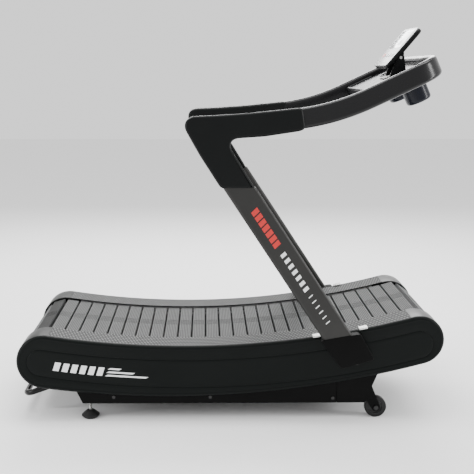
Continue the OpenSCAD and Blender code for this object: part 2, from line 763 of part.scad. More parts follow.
module wheel_forks() {
    color("#20211f") both_sides()
        for (y = [wheel_y - wheel_w / 2 - fork_gap - fork_t, wheel_y + wheel_w / 2 + fork_gap])
            difference() {
                side_slab(y, y + fork_t) {
                    polygon([[beam_front, beam_low + 4], [beam_front, beam_high - 4], [602, 140],
                        [wheel_x + 17, wheel_r + 6], [wheel_x + 5, wheel_r - 18],
                        [wheel_x - 16, wheel_r - 8]]);
                    translate([wheel_x, wheel_r]) circle(r = 18);
                }
                cross_cyl(wheel_x, wheel_r, axle_r, y - 1, y + fork_t + 1);
            }
}
module wheel_axles() {
    color("#a4a6a8") both_sides() {
        cross_cyl(wheel_x, wheel_r, axle_r, wheel_y - wheel_w / 2 - 12, wheel_y + wheel_w / 2 + 8);
        cross_cyl(wheel_x, wheel_r, 10, wheel_y + wheel_w / 2 + fork_gap + fork_t,
            wheel_y + wheel_w / 2 + 12);
    }
}

base_frame();
frame_plates();
guide_rails();
guide_bearings();
shaft_bearings();
rear_lift_handle();
lower_panels();
panel_screws();
side_cover_left();
side_cover_right();
grip_left();
grip_right();
step_rails();
rear_cap_left();
rear_cap_right();
front_cap_left();
front_cap_right();
carriers_top();
slats_top();
treads_top();
carriers_bottom();
slats_bottom();
treads_bottom();
front_shaft();
front_pulleys();
carriers_front();
slats_front();
treads_front();
rear_shaft();
rear_pulleys();
carriers_rear();
slats_rear();
treads_rear();
upright_left();
upright_right();
upright_feet();
foot_plates();
upright_bolts();
elbow_sleeve_left();
elbow_sleeve_right();
handrail_arms();
handrail_loop();
console_tray();
bottle_cup_left();
bottle_cup_right();
console_bracket();
console_pin();
console_housing();
console_screen();
button_up();
button_down();
button_start();
button_stop();
foot_pad_left();
foot_pad_right();
foot_nuts();
wheel_left();
wheel_right();
wheel_forks();
wheel_axles();
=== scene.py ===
import json
import math

import bmesh
import bpy
import numpy as np
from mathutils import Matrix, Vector


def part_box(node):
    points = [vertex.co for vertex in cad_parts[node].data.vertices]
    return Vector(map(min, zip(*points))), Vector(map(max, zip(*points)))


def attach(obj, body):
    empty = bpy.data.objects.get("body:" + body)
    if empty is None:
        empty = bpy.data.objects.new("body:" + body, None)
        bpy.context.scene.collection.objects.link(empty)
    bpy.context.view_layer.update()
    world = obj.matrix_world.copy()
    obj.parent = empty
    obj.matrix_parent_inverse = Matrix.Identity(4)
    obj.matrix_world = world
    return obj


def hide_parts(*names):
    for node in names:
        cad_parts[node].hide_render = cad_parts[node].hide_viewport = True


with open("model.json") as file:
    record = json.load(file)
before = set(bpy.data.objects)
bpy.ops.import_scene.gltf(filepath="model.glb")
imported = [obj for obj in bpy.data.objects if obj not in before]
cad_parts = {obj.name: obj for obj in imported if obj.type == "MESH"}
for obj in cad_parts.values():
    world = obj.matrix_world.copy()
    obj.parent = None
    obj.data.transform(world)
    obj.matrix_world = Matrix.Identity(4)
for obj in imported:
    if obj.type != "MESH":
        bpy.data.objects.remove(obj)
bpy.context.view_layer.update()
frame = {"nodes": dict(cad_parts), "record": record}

# ---------------------------------------------------------------------------------------------
# Camera, floor and lamps. The machine stands on a plain pale floor, seen from its right-hand
# side a little above the handrail. One soft lamp hangs overhead, one stands behind, and two
# strip lamps draw the long highlights along the tubes and covers.
# ---------------------------------------------------------------------------------------------
camera_data = bpy.data.cameras.new("camera")
camera_data.lens = 63.15
camera_data.sensor_width = 36
camera_data.shift_x = 0.0502
camera = bpy.data.objects.new("camera", camera_data)
camera.location = (-0.099, -3.642, 1.453)
camera.rotation_euler = (math.radians(90 - 11.43), 0, math.radians(-0.53))
bpy.context.collection.objects.link(camera)
bpy.context.scene.camera = camera


def paint(name, colour, roughness, metallic=0.0, coat=0.0, specular=0.5):
    """A material with one Principled shader; patterns are added to it by the caller."""
    material = bpy.data.materials.new(name)
    material.use_nodes = True
    shader = material.node_tree.nodes["Principled BSDF"]
    shader.inputs["Base Color"].default_value = (*colour, 1)
    shader.inputs["Roughness"].default_value = roughness
    shader.inputs["Metallic"].default_value = metallic
    shader.inputs["Coat Weight"].default_value = coat
    shader.inputs["Coat Roughness"].default_value = 0.12
    shader.inputs["Specular IOR Level"].default_value = specular
    return material


def pattern(material, scale, socket, low, high, stretch=(1, 1, 1)):
    """Drives a shader socket from a noise on the piece's own coordinates."""
    tree = material.node_tree
    shader = tree.nodes["Principled BSDF"]
    place = tree.nodes.new("ShaderNodeTexCoord")
    turn = tree.nodes.new("ShaderNodeMapping")
    turn.inputs["Scale"].default_value = stretch
    texture = tree.nodes.new("ShaderNodeTexNoise")
    texture.inputs["Scale"].default_value = scale
    texture.inputs["Detail"].default_value = 4
    value = texture.outputs["Fac"]
    tree.links.new(place.outputs["Object"], turn.inputs["Vector"])
    tree.links.new(turn.outputs["Vector"], texture.inputs["Vector"])
    ramp = tree.nodes.new("ShaderNodeMapRange")
    ramp.inputs["From Min"].default_value = 0.3
    ramp.inputs["From Max"].default_value = 0.7
    if socket == "Bump":
        bump = tree.nodes.new("ShaderNodeBump")
        bump.inputs["Strength"].default_value = high
        bump.inputs["Distance"].default_value = low
        tree.links.new(value, bump.inputs["Height"])
        tree.links.new(bump.outputs["Normal"], shader.inputs["Normal"])
        return
    if socket == "Base Color":
        mix = tree.nodes.new("ShaderNodeMix")
        mix.data_type = "RGBA"
        mix.inputs["A"].default_value = (*low, 1)
        mix.inputs["B"].default_value = (*high, 1)
        tree.links.new(value, ramp.inputs["Value"])
        tree.links.new(ramp.outputs["Result"], mix.inputs["Factor"])
        tree.links.new(mix.outputs["Result"], shader.inputs["Base Color"])
        return
    ramp.inputs["To Min"].default_value = low
    ramp.inputs["To Max"].default_value = high
    tree.links.new(value, ramp.inputs["Value"])
    tree.links.new(ramp.outputs["Result"], shader.inputs[socket])


def shade_hollows(material, hollow, mottle):
    """Paints shade into a moulded surface where its crown value falls to 0, and mottles it lightly."""
    tree = material.node_tree
    shader = tree.nodes["Principled BSDF"]
    crown = tree.nodes.new("ShaderNodeAttribute")
    crown.attribute_name = "crown"
    place = tree.nodes.new("ShaderNodeTexCoord")
    noise = tree.nodes.new("ShaderNodeTexNoise")
    noise.inputs["Scale"].default_value = 55
    tree.links.new(place.outputs["Object"], noise.inputs["Vector"])
    tone = tree.nodes.new("ShaderNodeMix")
    tone.data_type = "RGBA"
    top = tuple(shader.inputs["Base Color"].default_value)[:3]
    tone.inputs["A"].default_value = (*[c * (1 - mottle) for c in top], 1)
    tone.inputs["B"].default_value = (*[c * (1 + mottle) for c in top], 1)
    tree.links.new(noise.outputs["Fac"], tone.inputs["Factor"])
    mix = tree.nodes.new("ShaderNodeMix")
    mix.data_type = "RGBA"
    mix.inputs["A"].default_value = (*hollow, 1)
    tree.links.new(tone.outputs["Result"], mix.inputs["B"])
    tree.links.new(crown.outputs["Fac"], mix.inputs["Factor"])
    tree.links.new(mix.outputs["Result"], shader.inputs["Base Color"])


def set_crown(piece, values):
    """Stores how far each point of a moulded surface stands up, from 0 to 1."""
    layer = piece.data.attributes.new("crown", "FLOAT", "POINT")
    layer.data.foreach_set("value", np.asarray(values, np.float32))


def new_mesh(name, points, faces, material, smooth=True, angle=40):
    """A closed mesh object at the origin, normals outwards, smooth up to the given edge angle."""
    mesh = bpy.data.meshes.new(name)
    mesh.from_pydata([tuple(p) for p in points], [], [tuple(f) for f in faces])
    work = bmesh.new()
    work.from_mesh(mesh)
    bmesh.ops.recalc_face_normals(work, faces=work.faces)
    for edge in work.edges:
        edge.smooth = len(edge.link_faces) < 2 or edge.calc_face_angle(0) < math.radians(angle)
    work.to_mesh(mesh)
    work.free()
    for polygon in mesh.polygons:
        polygon.use_smooth = smooth
    mesh.materials.append(material)
    piece = bpy.data.objects.new(name, mesh)
    bpy.context.collection.objects.link(piece)
    return piece


floor_paint = paint("studio floor", (0.9, 0.9, 0.9), 0.8, specular=0.1)
pattern(floor_paint, 3.0, "Roughness", 0.74, 0.86)
floor_half = 14.0
floor = new_mesh("floor", [(-floor_half, -floor_half, 0), (floor_half, -floor_half, 0),
    (floor_half, floor_half, 0), (-floor_half, floor_half, 0)], [(0, 1, 2, 3)], floor_paint)

world = bpy.data.worlds.new("studio")
world.use_nodes = True
world.node_tree.nodes["Background"].inputs["Color"].default_value = (1, 1, 1, 1)
world.node_tree.nodes["Background"].inputs["Strength"].default_value = 1.25
bpy.context.scene.world = world


def soft_lamp(name, place, aim, size, power):
    """A rectangular lamp at a place, turned to face a point."""
    data = bpy.data.lights.new(name, "AREA")
    data.shape = "RECTANGLE"
    data.size, data.size_y = size
    data.energy = power
    lamp = bpy.data.objects.new(name, data)
    lamp.location = place
    lamp.rotation_euler = (Vector(aim) - Vector(place)).to_track_quat("-Z", "Y").to_euler()
    bpy.context.collection.objects.link(lamp)


soft_lamp("overhead lamp", (0, -0.1, 3.6), (0, 0, 0.4), (4.2, 1.2), 130)
soft_lamp("back lamp", (0, 3.4, 2.9), (0, 0, 0.7), (4.6, 1.4), 230)
soft_lamp("rear strip", (-3.4, -1.2, 1.4), (-0.6, 0, 0.5), (0.5, 2.2), 70)
soft_lamp("front strip", (3.6, -1.0, 1.8), (0.4, 0, 0.8), (0.5, 2.4), 80)

# ---------------------------------------------------------------------------------------------
# Side covers. Each is one black injection-moulded shell that wraps the rail of its side: a
# rounded shoulder runs right round, and a shallow groove outlines the flat panel inside it.
# The shells push over the frame plates and hold by clips, so no screws show.
# ---------------------------------------------------------------------------------------------
joints = {joint["name"]: joint for joint in frame["record"]["behaviour"]["joints"]}


def side_place(joint_name):
    """The centre of a cross-wise hinge in side view, as (x, z)."""
    place = joints[joint_name]["pos_m"]
    return np.array([place[0], place[2]])


deck_centre = side_place("belt_travel")
rear_drum = side_place("rear_drum_spin")
front_drum = side_place("front_drum_spin")
cover_low, cover_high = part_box("side_cover_left")
grip_low, grip_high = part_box("grip_left")
grip_thick = 0.006
deck_r = deck_centre[1] - grip_low[2] - grip_thick
rear_end_r = rear_drum[0] - cover_low[0] + 0.0002
front_end_r = cover_high[0] - front_drum[0] + 0.0002
under_r = 4.0


def arc(centre, radius, start, stop, steps):
    """Points of an arc in side view, angles in degrees."""
    turn = np.radians(np.linspace(start, stop, steps + 1))
    return np.stack([centre[0] + radius * np.cos(turn), centre[1] + radius * np.sin(turn)], 1)


def heading(start, stop):
    return math.degrees(math.atan2(stop[1] - start[1], stop[0] - start[0]))


def under_deck(x, top_r, radius):
    """Centre of a circle at x that touches the hollow arc of radius top_r from below."""
    reach = top_r + radius
    return np.array([x, deck_centre[1] - math.sqrt(reach ** 2 - (x - deck_centre[0]) ** 2)])


def upper_meet(p, p_r, q, q_r):
    """Upper crossing point of two circles."""
    gap = np.linalg.norm(q - p)
    along = (p_r ** 2 - q_r ** 2 + gap ** 2) / (2 * gap)
    rise = math.sqrt(p_r ** 2 - along ** 2)
    unit = (q - p) / gap
    return p + along * unit + rise * np.array([-unit[1], unit[0]])


def deck_outline(top_r, rear_x, rear_r, front_x, front_r, low_r):
    """Closed side view: hollow arc on top, round ends, bulging arc below."""
    rear = under_deck(rear_x, top_r, rear_r)
    front = under_deck(front_x, top_r, front_r)
    low = upper_meet(rear, low_r - rear_r, front, low_r - front_r)
    return np.concatenate([
        arc(deck_centre, top_r, heading(deck_centre, rear), heading(deck_centre, front), 96)[:-1],
        arc(front, front_r, heading(deck_centre, front) + 180, heading(low, front), 48)[:-1],
        arc(low, low_r, heading(low, front), heading(low, rear), 96)[:-1],
        arc(rear, rear_r, heading(low, rear) + 360, heading(deck_centre, rear) + 180, 48)[:-1]])


def cover_line(inset):
    return deck_outline(deck_r + inset, rear_drum[0], rear_end_r - inset, front_drum[0],
        front_end_r - inset, under_r - inset)


panel_r = 3.760
panel_end_x = 0.785
panel_rear_r = 0.057
panel_front_r = 0.059


def panel_line(inset):
    return deck_outline(panel_r + inset, -panel_end_x, panel_rear_r - inset, panel_end_x,
        panel_front_r - inset, panel_r - inset)


def stack(rings, side):
    """Joins side-view rings, each (outline, y), into points and faces with both ends closed."""
    count = len(rings[0][0])
    points = [(x, side * y, z) for outline, y in rings for x, z in outline]
    faces = [(r * count + i, r * count + (i + 1) % count, (r + 1) * count + (i + 1) % count,
        (r + 1) * count + i) for r in range(len(rings) - 1) for i in range(count)]
    faces.append(tuple(range(count)))
    faces.append(tuple(range((len(rings) - 1) * count, len(rings) * count)))
    return points, faces


cover_plastic = paint("side cover plastic", (0.0022, 0.0032, 0.0029), 0.3, specular=0.09)
pattern(cover_plastic, 900, "Bump", 0.0004, 0.12)
pattern(cover_plastic, 5, "Roughness", 0.32, 0.46)
shoulder_r = 0.014
bead = 0.0012
cover_face = cover_high[1]
edge_turns = [math.radians(a) for a in range(0, 91, 10)]
for side, hand in ((1, "left"), (-1, "right")):
    rings = [(cover_line(0.010), cover_face - 0.003), (cover_line(0.010), cover_low[1]),
        (cover_line(0.0064), cover_low[1]), (cover_line(0.0064), cover_face - shoulder_r - 0.0007),
        (cover_line(0.0006), cover_face - shoulder_r - 0.0007)]
    rings += [(cover_line(shoulder_r * (1 - math.cos(t))), cover_face - shoulder_r
        + shoulder_r * math.sin(t)) for t in edge_turns]
    rings += [(cover_line(shoulder_r + 0.0015), cover_face - bead),
        (cover_line(shoulder_r + 0.0045), cover_face - bead),
        (panel_line(-0.0035), cover_face - bead), (panel_line(-0.0022), cover_face - bead - 0.0006),
        (panel_line(-0.0014), cover_face - bead - 0.0026), (panel_line(0.0014), cover_face - bead - 0.0026),
        (panel_line(0.0022), cover_face - bead - 0.0006), (panel_line(0.0036), cover_face - bead - 0.0001),
        (panel_line(0.012), cover_face - bead)]
    cover = new_mesh(f"side_cover_shell_{hand}", *stack(rings, side), cover_plastic, angle=50)
    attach(cover, "machine")
    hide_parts(f"side_cover_{hand}")

# Printed stripes on the covers: a row of slanted white bars that follows the deck's hollow.
stripe_ink = paint("white stripe ink", (0.78, 0.79, 0.79), 0.45)
pattern(stripe_ink, 60, "Roughness", 0.4, 0.52)
stripe_slant = 0.012
stripe_r = 3.842
stripe_tall = 0.036
stripe_wide = 0.024
stripe_step = 0.036
stripe_count = 6


def slanted_bar(x0, x1, low, high, y, side):
    """Four corners front and back of a thin slanted bar, following the deck's curve."""
    def drop(x):
        return deck_centre[1] - math.sqrt(stripe_r ** 2 - (x - deck_centre[0]) ** 2)
    flat = [(x0, drop(x0) + low), (x1, drop(x1) + low), (x1 + stripe_slant, drop(x1) + high),
        (x0 + stripe_slant, drop(x0) + high)]
    return [(x, side * (y + t), z) for t in (0.0002, 0.0005) for x, z in flat]


def bars_mesh(name, bars, material):
    points = [p for bar in bars for p in bar]
    faces = [tuple(8 * k + i for i in face) for k in range(len(bars)) for face in
        ((0, 3, 2, 1), (4, 5, 6, 7), (0, 1, 5, 4), (1, 2, 6, 5), (2, 3, 7, 6), (3, 0, 4, 7))]
    return new_mesh(name, points, faces, material, smooth=False)


for side, hand in ((1, "left"), (-1, "right")):
    y = cover_face - bead
    start = -0.735 if side < 0 else 0.18
    bars = [slanted_bar(start + stripe_step * k, start + stripe_step * k + stripe_wide, 0.0, stripe_tall,
        y, side) for k in range(stripe_count)]
    bars.append(slanted_bar(start + 0.216, start + 0.385, 0.0, 0.006, y, side))
    bars.append(slanted_bar(start + 0.222, start + 0.330, 0.015, 0.021, y, side))
    bars.append(slanted_bar(start + 0.228, start + 0.275, 0.030, 0.036, y, side))
    stripes = bars_mesh(f"cover_stripes_{hand}", bars, stripe_ink)
    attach(stripes, "machine")

# ---------------------------------------------------------------------------------------------
# Grips. Grey rubber mats, one down each side, that the runner stands on. They are moulded with
# rows of small slanting lozenges and bonded to the step rails.
# ---------------------------------------------------------------------------------------------
grip_rubber = paint("grip rubber", (0.2, 0.202, 0.201), 0.52, specular=0.12)
# Painted shade: the hollows round the lozenges and the mat's underside are painted near black; the lozenge
# tops keep the grey rubber.
shade_hollows(grip_rubber, (0.008, 0.0083, 0.0081), 0.2)
pattern(grip_rubber, 700, "Bump", 0.0006, 0.25)
grip_step = 0.0022
lozenge_run = 0.0135
lozenge_row = 0.0193
lozenge_rise = 0.0012
grip_turn = [math.asin((x - deck_centre[0]) / deck_r) for x in (grip_low[0], grip_high[0])]
run_count = int((grip_turn[1] - grip_turn[0]) * deck_r / grip_step)
row_count = int((grip_high[1] - grip_low[1]) / grip_step)
run_at = np.linspace(0, (grip_turn[1] - grip_turn[0]) * deck_r, run_count + 1)
row_at = np.linspace(grip_low[1], grip_high[1], row_count + 1)
run_grid, row_grid = np.meshgrid(run_at, row_at, indexing="ij")
row_index = np.floor(row_grid / lozenge_row)
along = run_grid / lozenge_run + 0.5 * (row_index % 2)
along = along - np.floor(along) - 0.5
across = row_grid / lozenge_row - row_index - 0.5
leaned = along * 0.9 + across * 0.45
thin = across * 0.95 - along * 0.42
lump = np.clip(1.2 - (leaned / 0.42) ** 2 - (thin / 0.2) ** 2, 0, 1) ** 0.9
edge_near = np.minimum(row_grid - grip_low[1], grip_high[1] - row_grid)
height = lozenge_rise * (lump - 1) * np.clip(edge_near / 0.003, 0, 1)
turn_grid = grip_turn[0] + run_grid / deck_r
top_r_grid = deck_r - height
for side, hand in ((1, "left"), (-1, "right")):
    top = np.stack([deck_centre[0] + top_r_grid * np.sin(turn_grid), side * row_grid,
        deck_centre[1] - top_r_grid * np.cos(turn_grid)], -1)
    base_r = deck_r + grip_thick
    base = np.stack([deck_centre[0] + base_r * np.sin(turn_grid), side * row_grid,
        deck_centre[1] - base_r * np.cos(turn_grid)], -1)
    rows = row_count + 1
    points = np.concatenate([top.reshape(-1, 3), base.reshape(-1, 3)])
    under = (run_count + 1) * rows
    faces = [(i * rows + j, (i + 1) * rows + j, (i + 1) * rows + j + 1, i * rows + j + 1)
        for i in range(run_count) for j in range(row_count)]
    rim = [i * rows for i in range(run_count + 1)]
    rim += [run_count * rows + j for j in range(1, rows)]
    rim += [i * rows + row_count for i in range(run_count - 1, -1, -1)]
    rim += [j for j in range(row_count - 1, 0, -1)]
    faces += [(rim[k], rim[(k + 1) % len(rim)], under + rim[(k + 1) % len(rim)], under + rim[k])
        for k in range(len(rim))]
    faces += [(under + i * rows, under + i * rows + row_count, under + (i + 1) * rows + row_count,
        under + (i + 1) * rows) for i in range(run_count)]
    used = sorted({v for f in faces for v in f})
    renumber = {v: k for k, v in enumerate(used)}
    grip = new_mesh(f"grip_mat_{hand}", points[used], [[renumber[v] for v in f] for f in faces],
        grip_rubber, angle=60)
    crowns = np.concatenate([lump.reshape(-1), np.zeros(lump.size)])
    set_crown(grip, crowns[used])
    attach(grip, "machine")
    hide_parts(f"grip_{hand}")

# ---------------------------------------------------------------------------------------------
# Step rails. An aluminium extrusion under each grip, bolted to the frame plate, carries the
# runner's feet; only its edges show beside the belt.
# ---------------------------------------------------------------------------------------------
def finish_nodes(material, *names):
    """Gives carried-over CAD pieces their real finish."""
    for name in names:
        data = frame["nodes"][name].data
        data.materials.clear()
        data.materials.append(material)


step_metal = paint("step rail aluminium", (0.4, 0.4, 0.4), 0.45, metallic=0.9)
pattern(step_metal, 60, "Roughness", 0.38, 0.52, stretch=(1, 6, 1))
finish_nodes(step_metal, "step_rails")

# ---------------------------------------------------------------------------------------------
# End caps. Four smooth moulded pieces close the ends of the rails and roll over the drums, mid
# grey at the rear and lighter at the front. They snap over the ends of the side covers.
# ---------------------------------------------------------------------------------------------
def sweep(name, stations, section, material, angle=40):
    """Sweeps a closed section of (up, side) offsets along stations of (place, up, side)."""
    points = [np.array(p) + u * np.array(up) + w * np.array(across)
        for p, up, across in stations for u, w in section]
    count = len(section)
    legs = len(stations) - 1
    faces = [(k * count + i, k * count + (i + 1) % count, (k + 1) * count + (i + 1) % count,
        (k + 1) * count + i) for k in range(legs) for i in range(count)]
    faces += [tuple(range(count)), tuple(range(legs * count, (legs + 1) * count))]
    return new_mesh(name, points, faces, material, angle=angle)


def arc_stations(centre, radius, start, stop, steps, side=1):
    """Stations along an arc in side view, with up pointing outwards from its centre."""
    turn = np.radians(np.linspace(start, stop, steps + 1))
    return [((centre[0] + radius * math.cos(t), 0, centre[1] + radius * math.sin(t)),
        (math.cos(t), 0, math.sin(t)), (0, side, 0)) for t in turn]


rear_cap_plastic = paint("rear cap plastic", (0.034, 0.0348, 0.034), 0.4, specular=0.06)
pattern(rear_cap_plastic, 1100, "Bump", 0.0002, 0.1)
pattern(rear_cap_plastic, 14, "Roughness", 0.3, 0.4)
front_cap_plastic = paint("front cap plastic", (0.075, 0.076, 0.075), 0.32, specular=0.2)
pattern(front_cap_plastic, 1100, "Bump", 0.0002, 0.1)
pattern(front_cap_plastic, 14, "Roughness", 0.28, 0.38)
cap_thick = 0.004
cap_roll = 0.0022
roll_turns = [math.radians(a) for a in range(0, 91, 18)]
for side, hand in ((1, "left"), (-1, "right")):
    for end, plastic in (("rear", rear_cap_plastic), ("front", front_cap_plastic)):
        low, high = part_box(f"{end}_cap_left")
        inner, outer = low[1], high[1]
        outline = [(-cap_thick, inner), (-cap_roll, inner)]
        outline += [(-cap_roll + cap_roll * math.sin(t), inner + cap_roll * (1 - math.cos(t)))
            for t in roll_turns[1:]]
        outline += [(-cap_roll + cap_roll * math.cos(t), outer - cap_roll * (1 - math.sin(t)))
            for t in roll_turns]
        outline.append((-cap_thick, outer))
        drum_x = rear_drum[0] if end == "rear" else front_drum[0]
        end_r = rear_end_r if end == "rear" else front_end_r
        turn_centre = under_deck(drum_x, deck_r, end_r)
        on_deck = heading(deck_centre, turn_centre)
        flat_x = -grip_high[0] if end == "rear" else grip_high[0]
        flat_stop = math.degrees(math.asin((flat_x - deck_centre[0]) / deck_r)) - 90
        flat = [(place, (-u[0], 0, -u[2]), s) for place, u, s in
            arc_stations(deck_centre, deck_r, flat_stop, on_deck, 6, side)]
        low_stop = 255 if end == "rear" else -72
        round_part = arc_stations(turn_centre, end_r, on_deck + 180, low_stop, 40, side)
        cap = sweep(f"{end}_cap_cover_{hand}", flat[:-1] + round_part, outline, plastic, angle=50)
        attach(cap, "machine")
        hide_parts(f"{end}_cap_{hand}")

# ---------------------------------------------------------------------------------------------
# Treads. Sixty aluminium slats carry a ribbed grey rubber tread each, with a band of small studs
# down the middle of the belt. The treads are moulded onto the slats; one tree lays out each run.
# ---------------------------------------------------------------------------------------------
tread_rubber = paint("tread rubber", (0.082, 0.0835, 0.083), 0.5, specular=0.12)
# Painted shade: all but the tops of the ribs and studs is painted near black.
shade_hollows(tread_rubber, (0.006, 0.0062, 0.006), 0.35)
pattern(tread_rubber, 500, "Bump", 0.0005, 0.2)
# Painted shade: a darker copy of the tread rubber for the lower run and the rear drum, where shade falls;
# its hollows are painted darker still.
shaded_tread_copy = paint("tread rubber in shade", (0.012, 0.0122, 0.012), 0.5, specular=0.12)
shade_hollows(shaded_tread_copy, (0.004, 0.004, 0.004), 0.2)
pattern(shaded_tread_copy, 500, "Bump", 0.0005, 0.2)
tread_wide = 0.056
tread_long = 0.456
tread_deep = 0.003
rib_tall = 0.0011
rib_count = 7
rib_foot = 0.0024
rib_head = 0.0018
band_half = 0.031
stud_columns = 7
stud_rows = 8
stud_foot = 0.003
stud_head = 0.0022


def tread_piece(name, lift, outward):
    """One tread at the top of a circle of radius lift, its ribs on the side away from the slat."""
    points, faces = [], []

    def block(outline, y0, y1):
        start = len(points)
        points.extend([(x, y0, z) for x, z in outline] + [(x, y1, z) for x, z in outline])
        n = len(outline)
        faces.append(tuple(start + i for i in range(n)))
        faces.append(tuple(start + n + i for i in range(n)))
        faces.extend((start + i, start + (i + 1) % n, start + n + (i + 1) % n, start + n + i)
            for i in range(n))

    half = tread_wide / 2
    bed = tread_deep - rib_tall
    block([(-half, 0), (half, 0), (half, bed - 0.0008), (half - 0.0012, bed), (-half + 0.0012, bed),
        (-half, bed - 0.0008)], -tread_long / 2, tread_long / 2)
    step = (tread_wide - 0.006) / rib_count
    for k in range(rib_count):
        x = -half + 0.003 + step * (k + 0.5)
        rib = [(x - rib_foot, bed), (x - rib_head, tread_deep), (x + rib_head, tread_deep),
            (x + rib_foot, bed)]
        for y0, y1 in ((-tread_long / 2 + 0.002, -band_half), (band_half, tread_long / 2 - 0.002)):
            block(rib, y0, y1)
    for i in range(stud_columns):
        for j in range(stud_rows):
            x = -half + 0.0052 + i * 0.0076
            y = -band_half + 0.0055 + j * 0.0073
            start = len(points)
            points.extend((x + a * reach, y + b * reach, z) for reach, z in ((stud_foot, bed),
                (stud_head, tread_deep)) for a, b in ((-1, -1), (1, -1), (1, 1), (-1, 1)))
            faces.extend(tuple(start + v for v in face) for face in
                ((4, 5, 6, 7), (0, 1, 5, 4), (1, 2, 6, 5), (2, 3, 7, 6), (3, 0, 4, 7)))
    return [(x, y, lift + outward * z) for x, y, z in points], faces


def lay_treads(name, centre, lift, outward, first, step, count, material, body, replaced):
    """Repeats one tread round a centre; turns are in degrees from straight up, towards +X."""
    points, faces = tread_piece(name, lift, outward)
    tread = new_mesh(f"{name}_one", points, faces, material, smooth=False)
    rise = (np.array([p[2] for p in points]) - lift) * outward
    set_crown(tread, rise > tread_deep - 0.0002)
    tree = bpy.data.node_groups.new(f"{name}_layout", "GeometryNodeTree")
    node, link = tree.nodes.new, tree.links.new
    sockets = {}
    for label, kind, value in (("First turn", "NodeSocketFloat", math.radians(first)),
            ("Turn per slat", "NodeSocketFloat", math.radians(step)), ("Slats", "NodeSocketInt", count)):
        socket = tree.interface.new_socket(label, in_out="INPUT", socket_type=kind)
        sockets[socket.identifier] = value
    tree.interface.new_socket("Geometry", in_out="OUTPUT", socket_type="NodeSocketGeometry")
    given = node("NodeGroupInput")
    result = node("NodeGroupOutput")
    line = node("GeometryNodeMeshLine")
    line.inputs["Start Location"].default_value = (centre[0], 0, centre[1])
    line.inputs["Offset"].default_value = (0, 0, 0)
    link(given.outputs["Slats"], line.inputs["Count"])
    index = node("GeometryNodeInputIndex")
    times = node("ShaderNodeMath")
    times.operation = "MULTIPLY_ADD"
    link(index.outputs[0], times.inputs[0])
    link(given.outputs["Turn per slat"], times.inputs[1])
    link(given.outputs["First turn"], times.inputs[2])
    turn = node("ShaderNodeCombineXYZ")
    link(times.outputs[0], turn.inputs["Y"])
    model = node("GeometryNodeObjectInfo")
    model.inputs["Object"].default_value = tread
    place = node("GeometryNodeInstanceOnPoints")
    link(line.outputs["Mesh"], place.inputs["Points"])
    link(model.outputs["Geometry"], place.inputs["Instance"])
    link(turn.outputs["Vector"], place.inputs["Rotation"])
    real = node("GeometryNodeRealizeInstances")
    link(place.outputs["Instances"], real.inputs["Geometry"])
    cover = node("GeometryNodeSetMaterial")
    cover.inputs["Material"].default_value = material
    link(real.outputs["Geometry"], cover.inputs["Geometry"])
    link(cover.outputs["Geometry"], result.inputs[0])
    base = new_mesh(f"{name}_base", [(0, 0, 0), (0.01, 0, 0), (0, 0.01, 0)], [(0, 1, 2)], material)
    layout = base.modifiers.new("layout", "NODES")
    layout.node_group = tree
    for identifier, value in sockets.items():
        layout[identifier] = value
    bpy.context.view_layer.update()
    seen = base.evaluated_get(bpy.context.evaluated_depsgraph_get())
    mesh = bpy.data.meshes.new_from_object(seen)
    bpy.data.objects.remove(base)
    bpy.data.objects.remove(tread)
    piece = bpy.data.objects.new(name, mesh)
    mesh.name = name
    bpy.context.collection.objects.link(piece)
    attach(piece, body)
    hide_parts(replaced)


belt_pitch_r = deck_r + 0.008 + tread_deep + 0.011 + 0.004
under_pitch_r = 3.882
rear_pitch_r = 0.086
front_pitch_r = 0.075
slat_back = 0.004 + 0.011
drum_play = 0.0005
slat_seat = tread_wide ** 2 / 8 / belt_pitch_r + 0.00002
belt_centre = side_place("belt_return")
top_start = math.radians(heading(deck_centre, rear_drum))
top_stop = math.radians(heading(deck_centre, front_drum))
low_start = math.radians(heading(belt_centre, front_drum))
low_stop = math.radians(heading(belt_centre, rear_drum))
top_length = belt_pitch_r * (top_stop - top_start)
front_length = front_pitch_r * (math.pi + top_stop - low_start)
low_length = under_pitch_r * (low_start - low_stop)
rear_length = rear_pitch_r * (math.pi + low_stop - top_start)
slat_count = 60
first_slat = 0.37
slat_pitch = (top_length + front_length + low_length + rear_length) / slat_count
slat_marks = [(first_slat + k) * slat_pitch for k in range(slat_count)]
half_pitch = slat_pitch / 2
on_top = [s for s in slat_marks if s < top_length + half_pitch]
on_front = [s - top_length for s in slat_marks
    if half_pitch <= s - top_length <= front_length - half_pitch]
on_low = [s - top_length - front_length for s in slat_marks
    if -half_pitch < s - top_length - front_length < low_length + half_pitch]
on_rear = [s - top_length - front_length - low_length for s in slat_marks
    if s - top_length - front_length - low_length >= half_pitch]


def up_turn(angle):
    """Turn from straight up, towards +X, of a direction given in radians from +X."""
    return 90 - math.degrees(angle)


lay_treads("belt_treads_top", deck_centre, belt_pitch_r - slat_seat - slat_back, -1,
    up_turn(top_start + on_top[0] / belt_pitch_r), -math.degrees(slat_pitch / belt_pitch_r), len(on_top),
    tread_rubber, "belt_top_run", "treads_top")
# The lower run takes the tread copy that is darkened as painted shade.
lay_treads("belt_treads_low", belt_centre, under_pitch_r + slat_back, 1,
    up_turn(low_start - on_low[0] / under_pitch_r), math.degrees(slat_pitch / under_pitch_r), len(on_low),
    shaded_tread_copy, "belt_lower_run", "treads_bottom")
lay_treads("belt_treads_front", front_drum, front_pitch_r - drum_play + slat_back, 1,
    up_turn(top_stop + math.pi - on_front[0] / front_pitch_r), math.degrees(slat_pitch / front_pitch_r),
    len(on_front), tread_rubber, "front_drum", "treads_front")
# The rear drum's treads also take the copy that is darkened as painted shade.
lay_treads("belt_treads_rear", rear_drum, rear_pitch_r - drum_play + slat_back, 1,
    up_turn(low_stop - on_rear[0] / rear_pitch_r), math.degrees(slat_pitch / rear_pitch_r),
    len(on_rear), shaded_tread_copy, "rear_drum", "treads_rear")

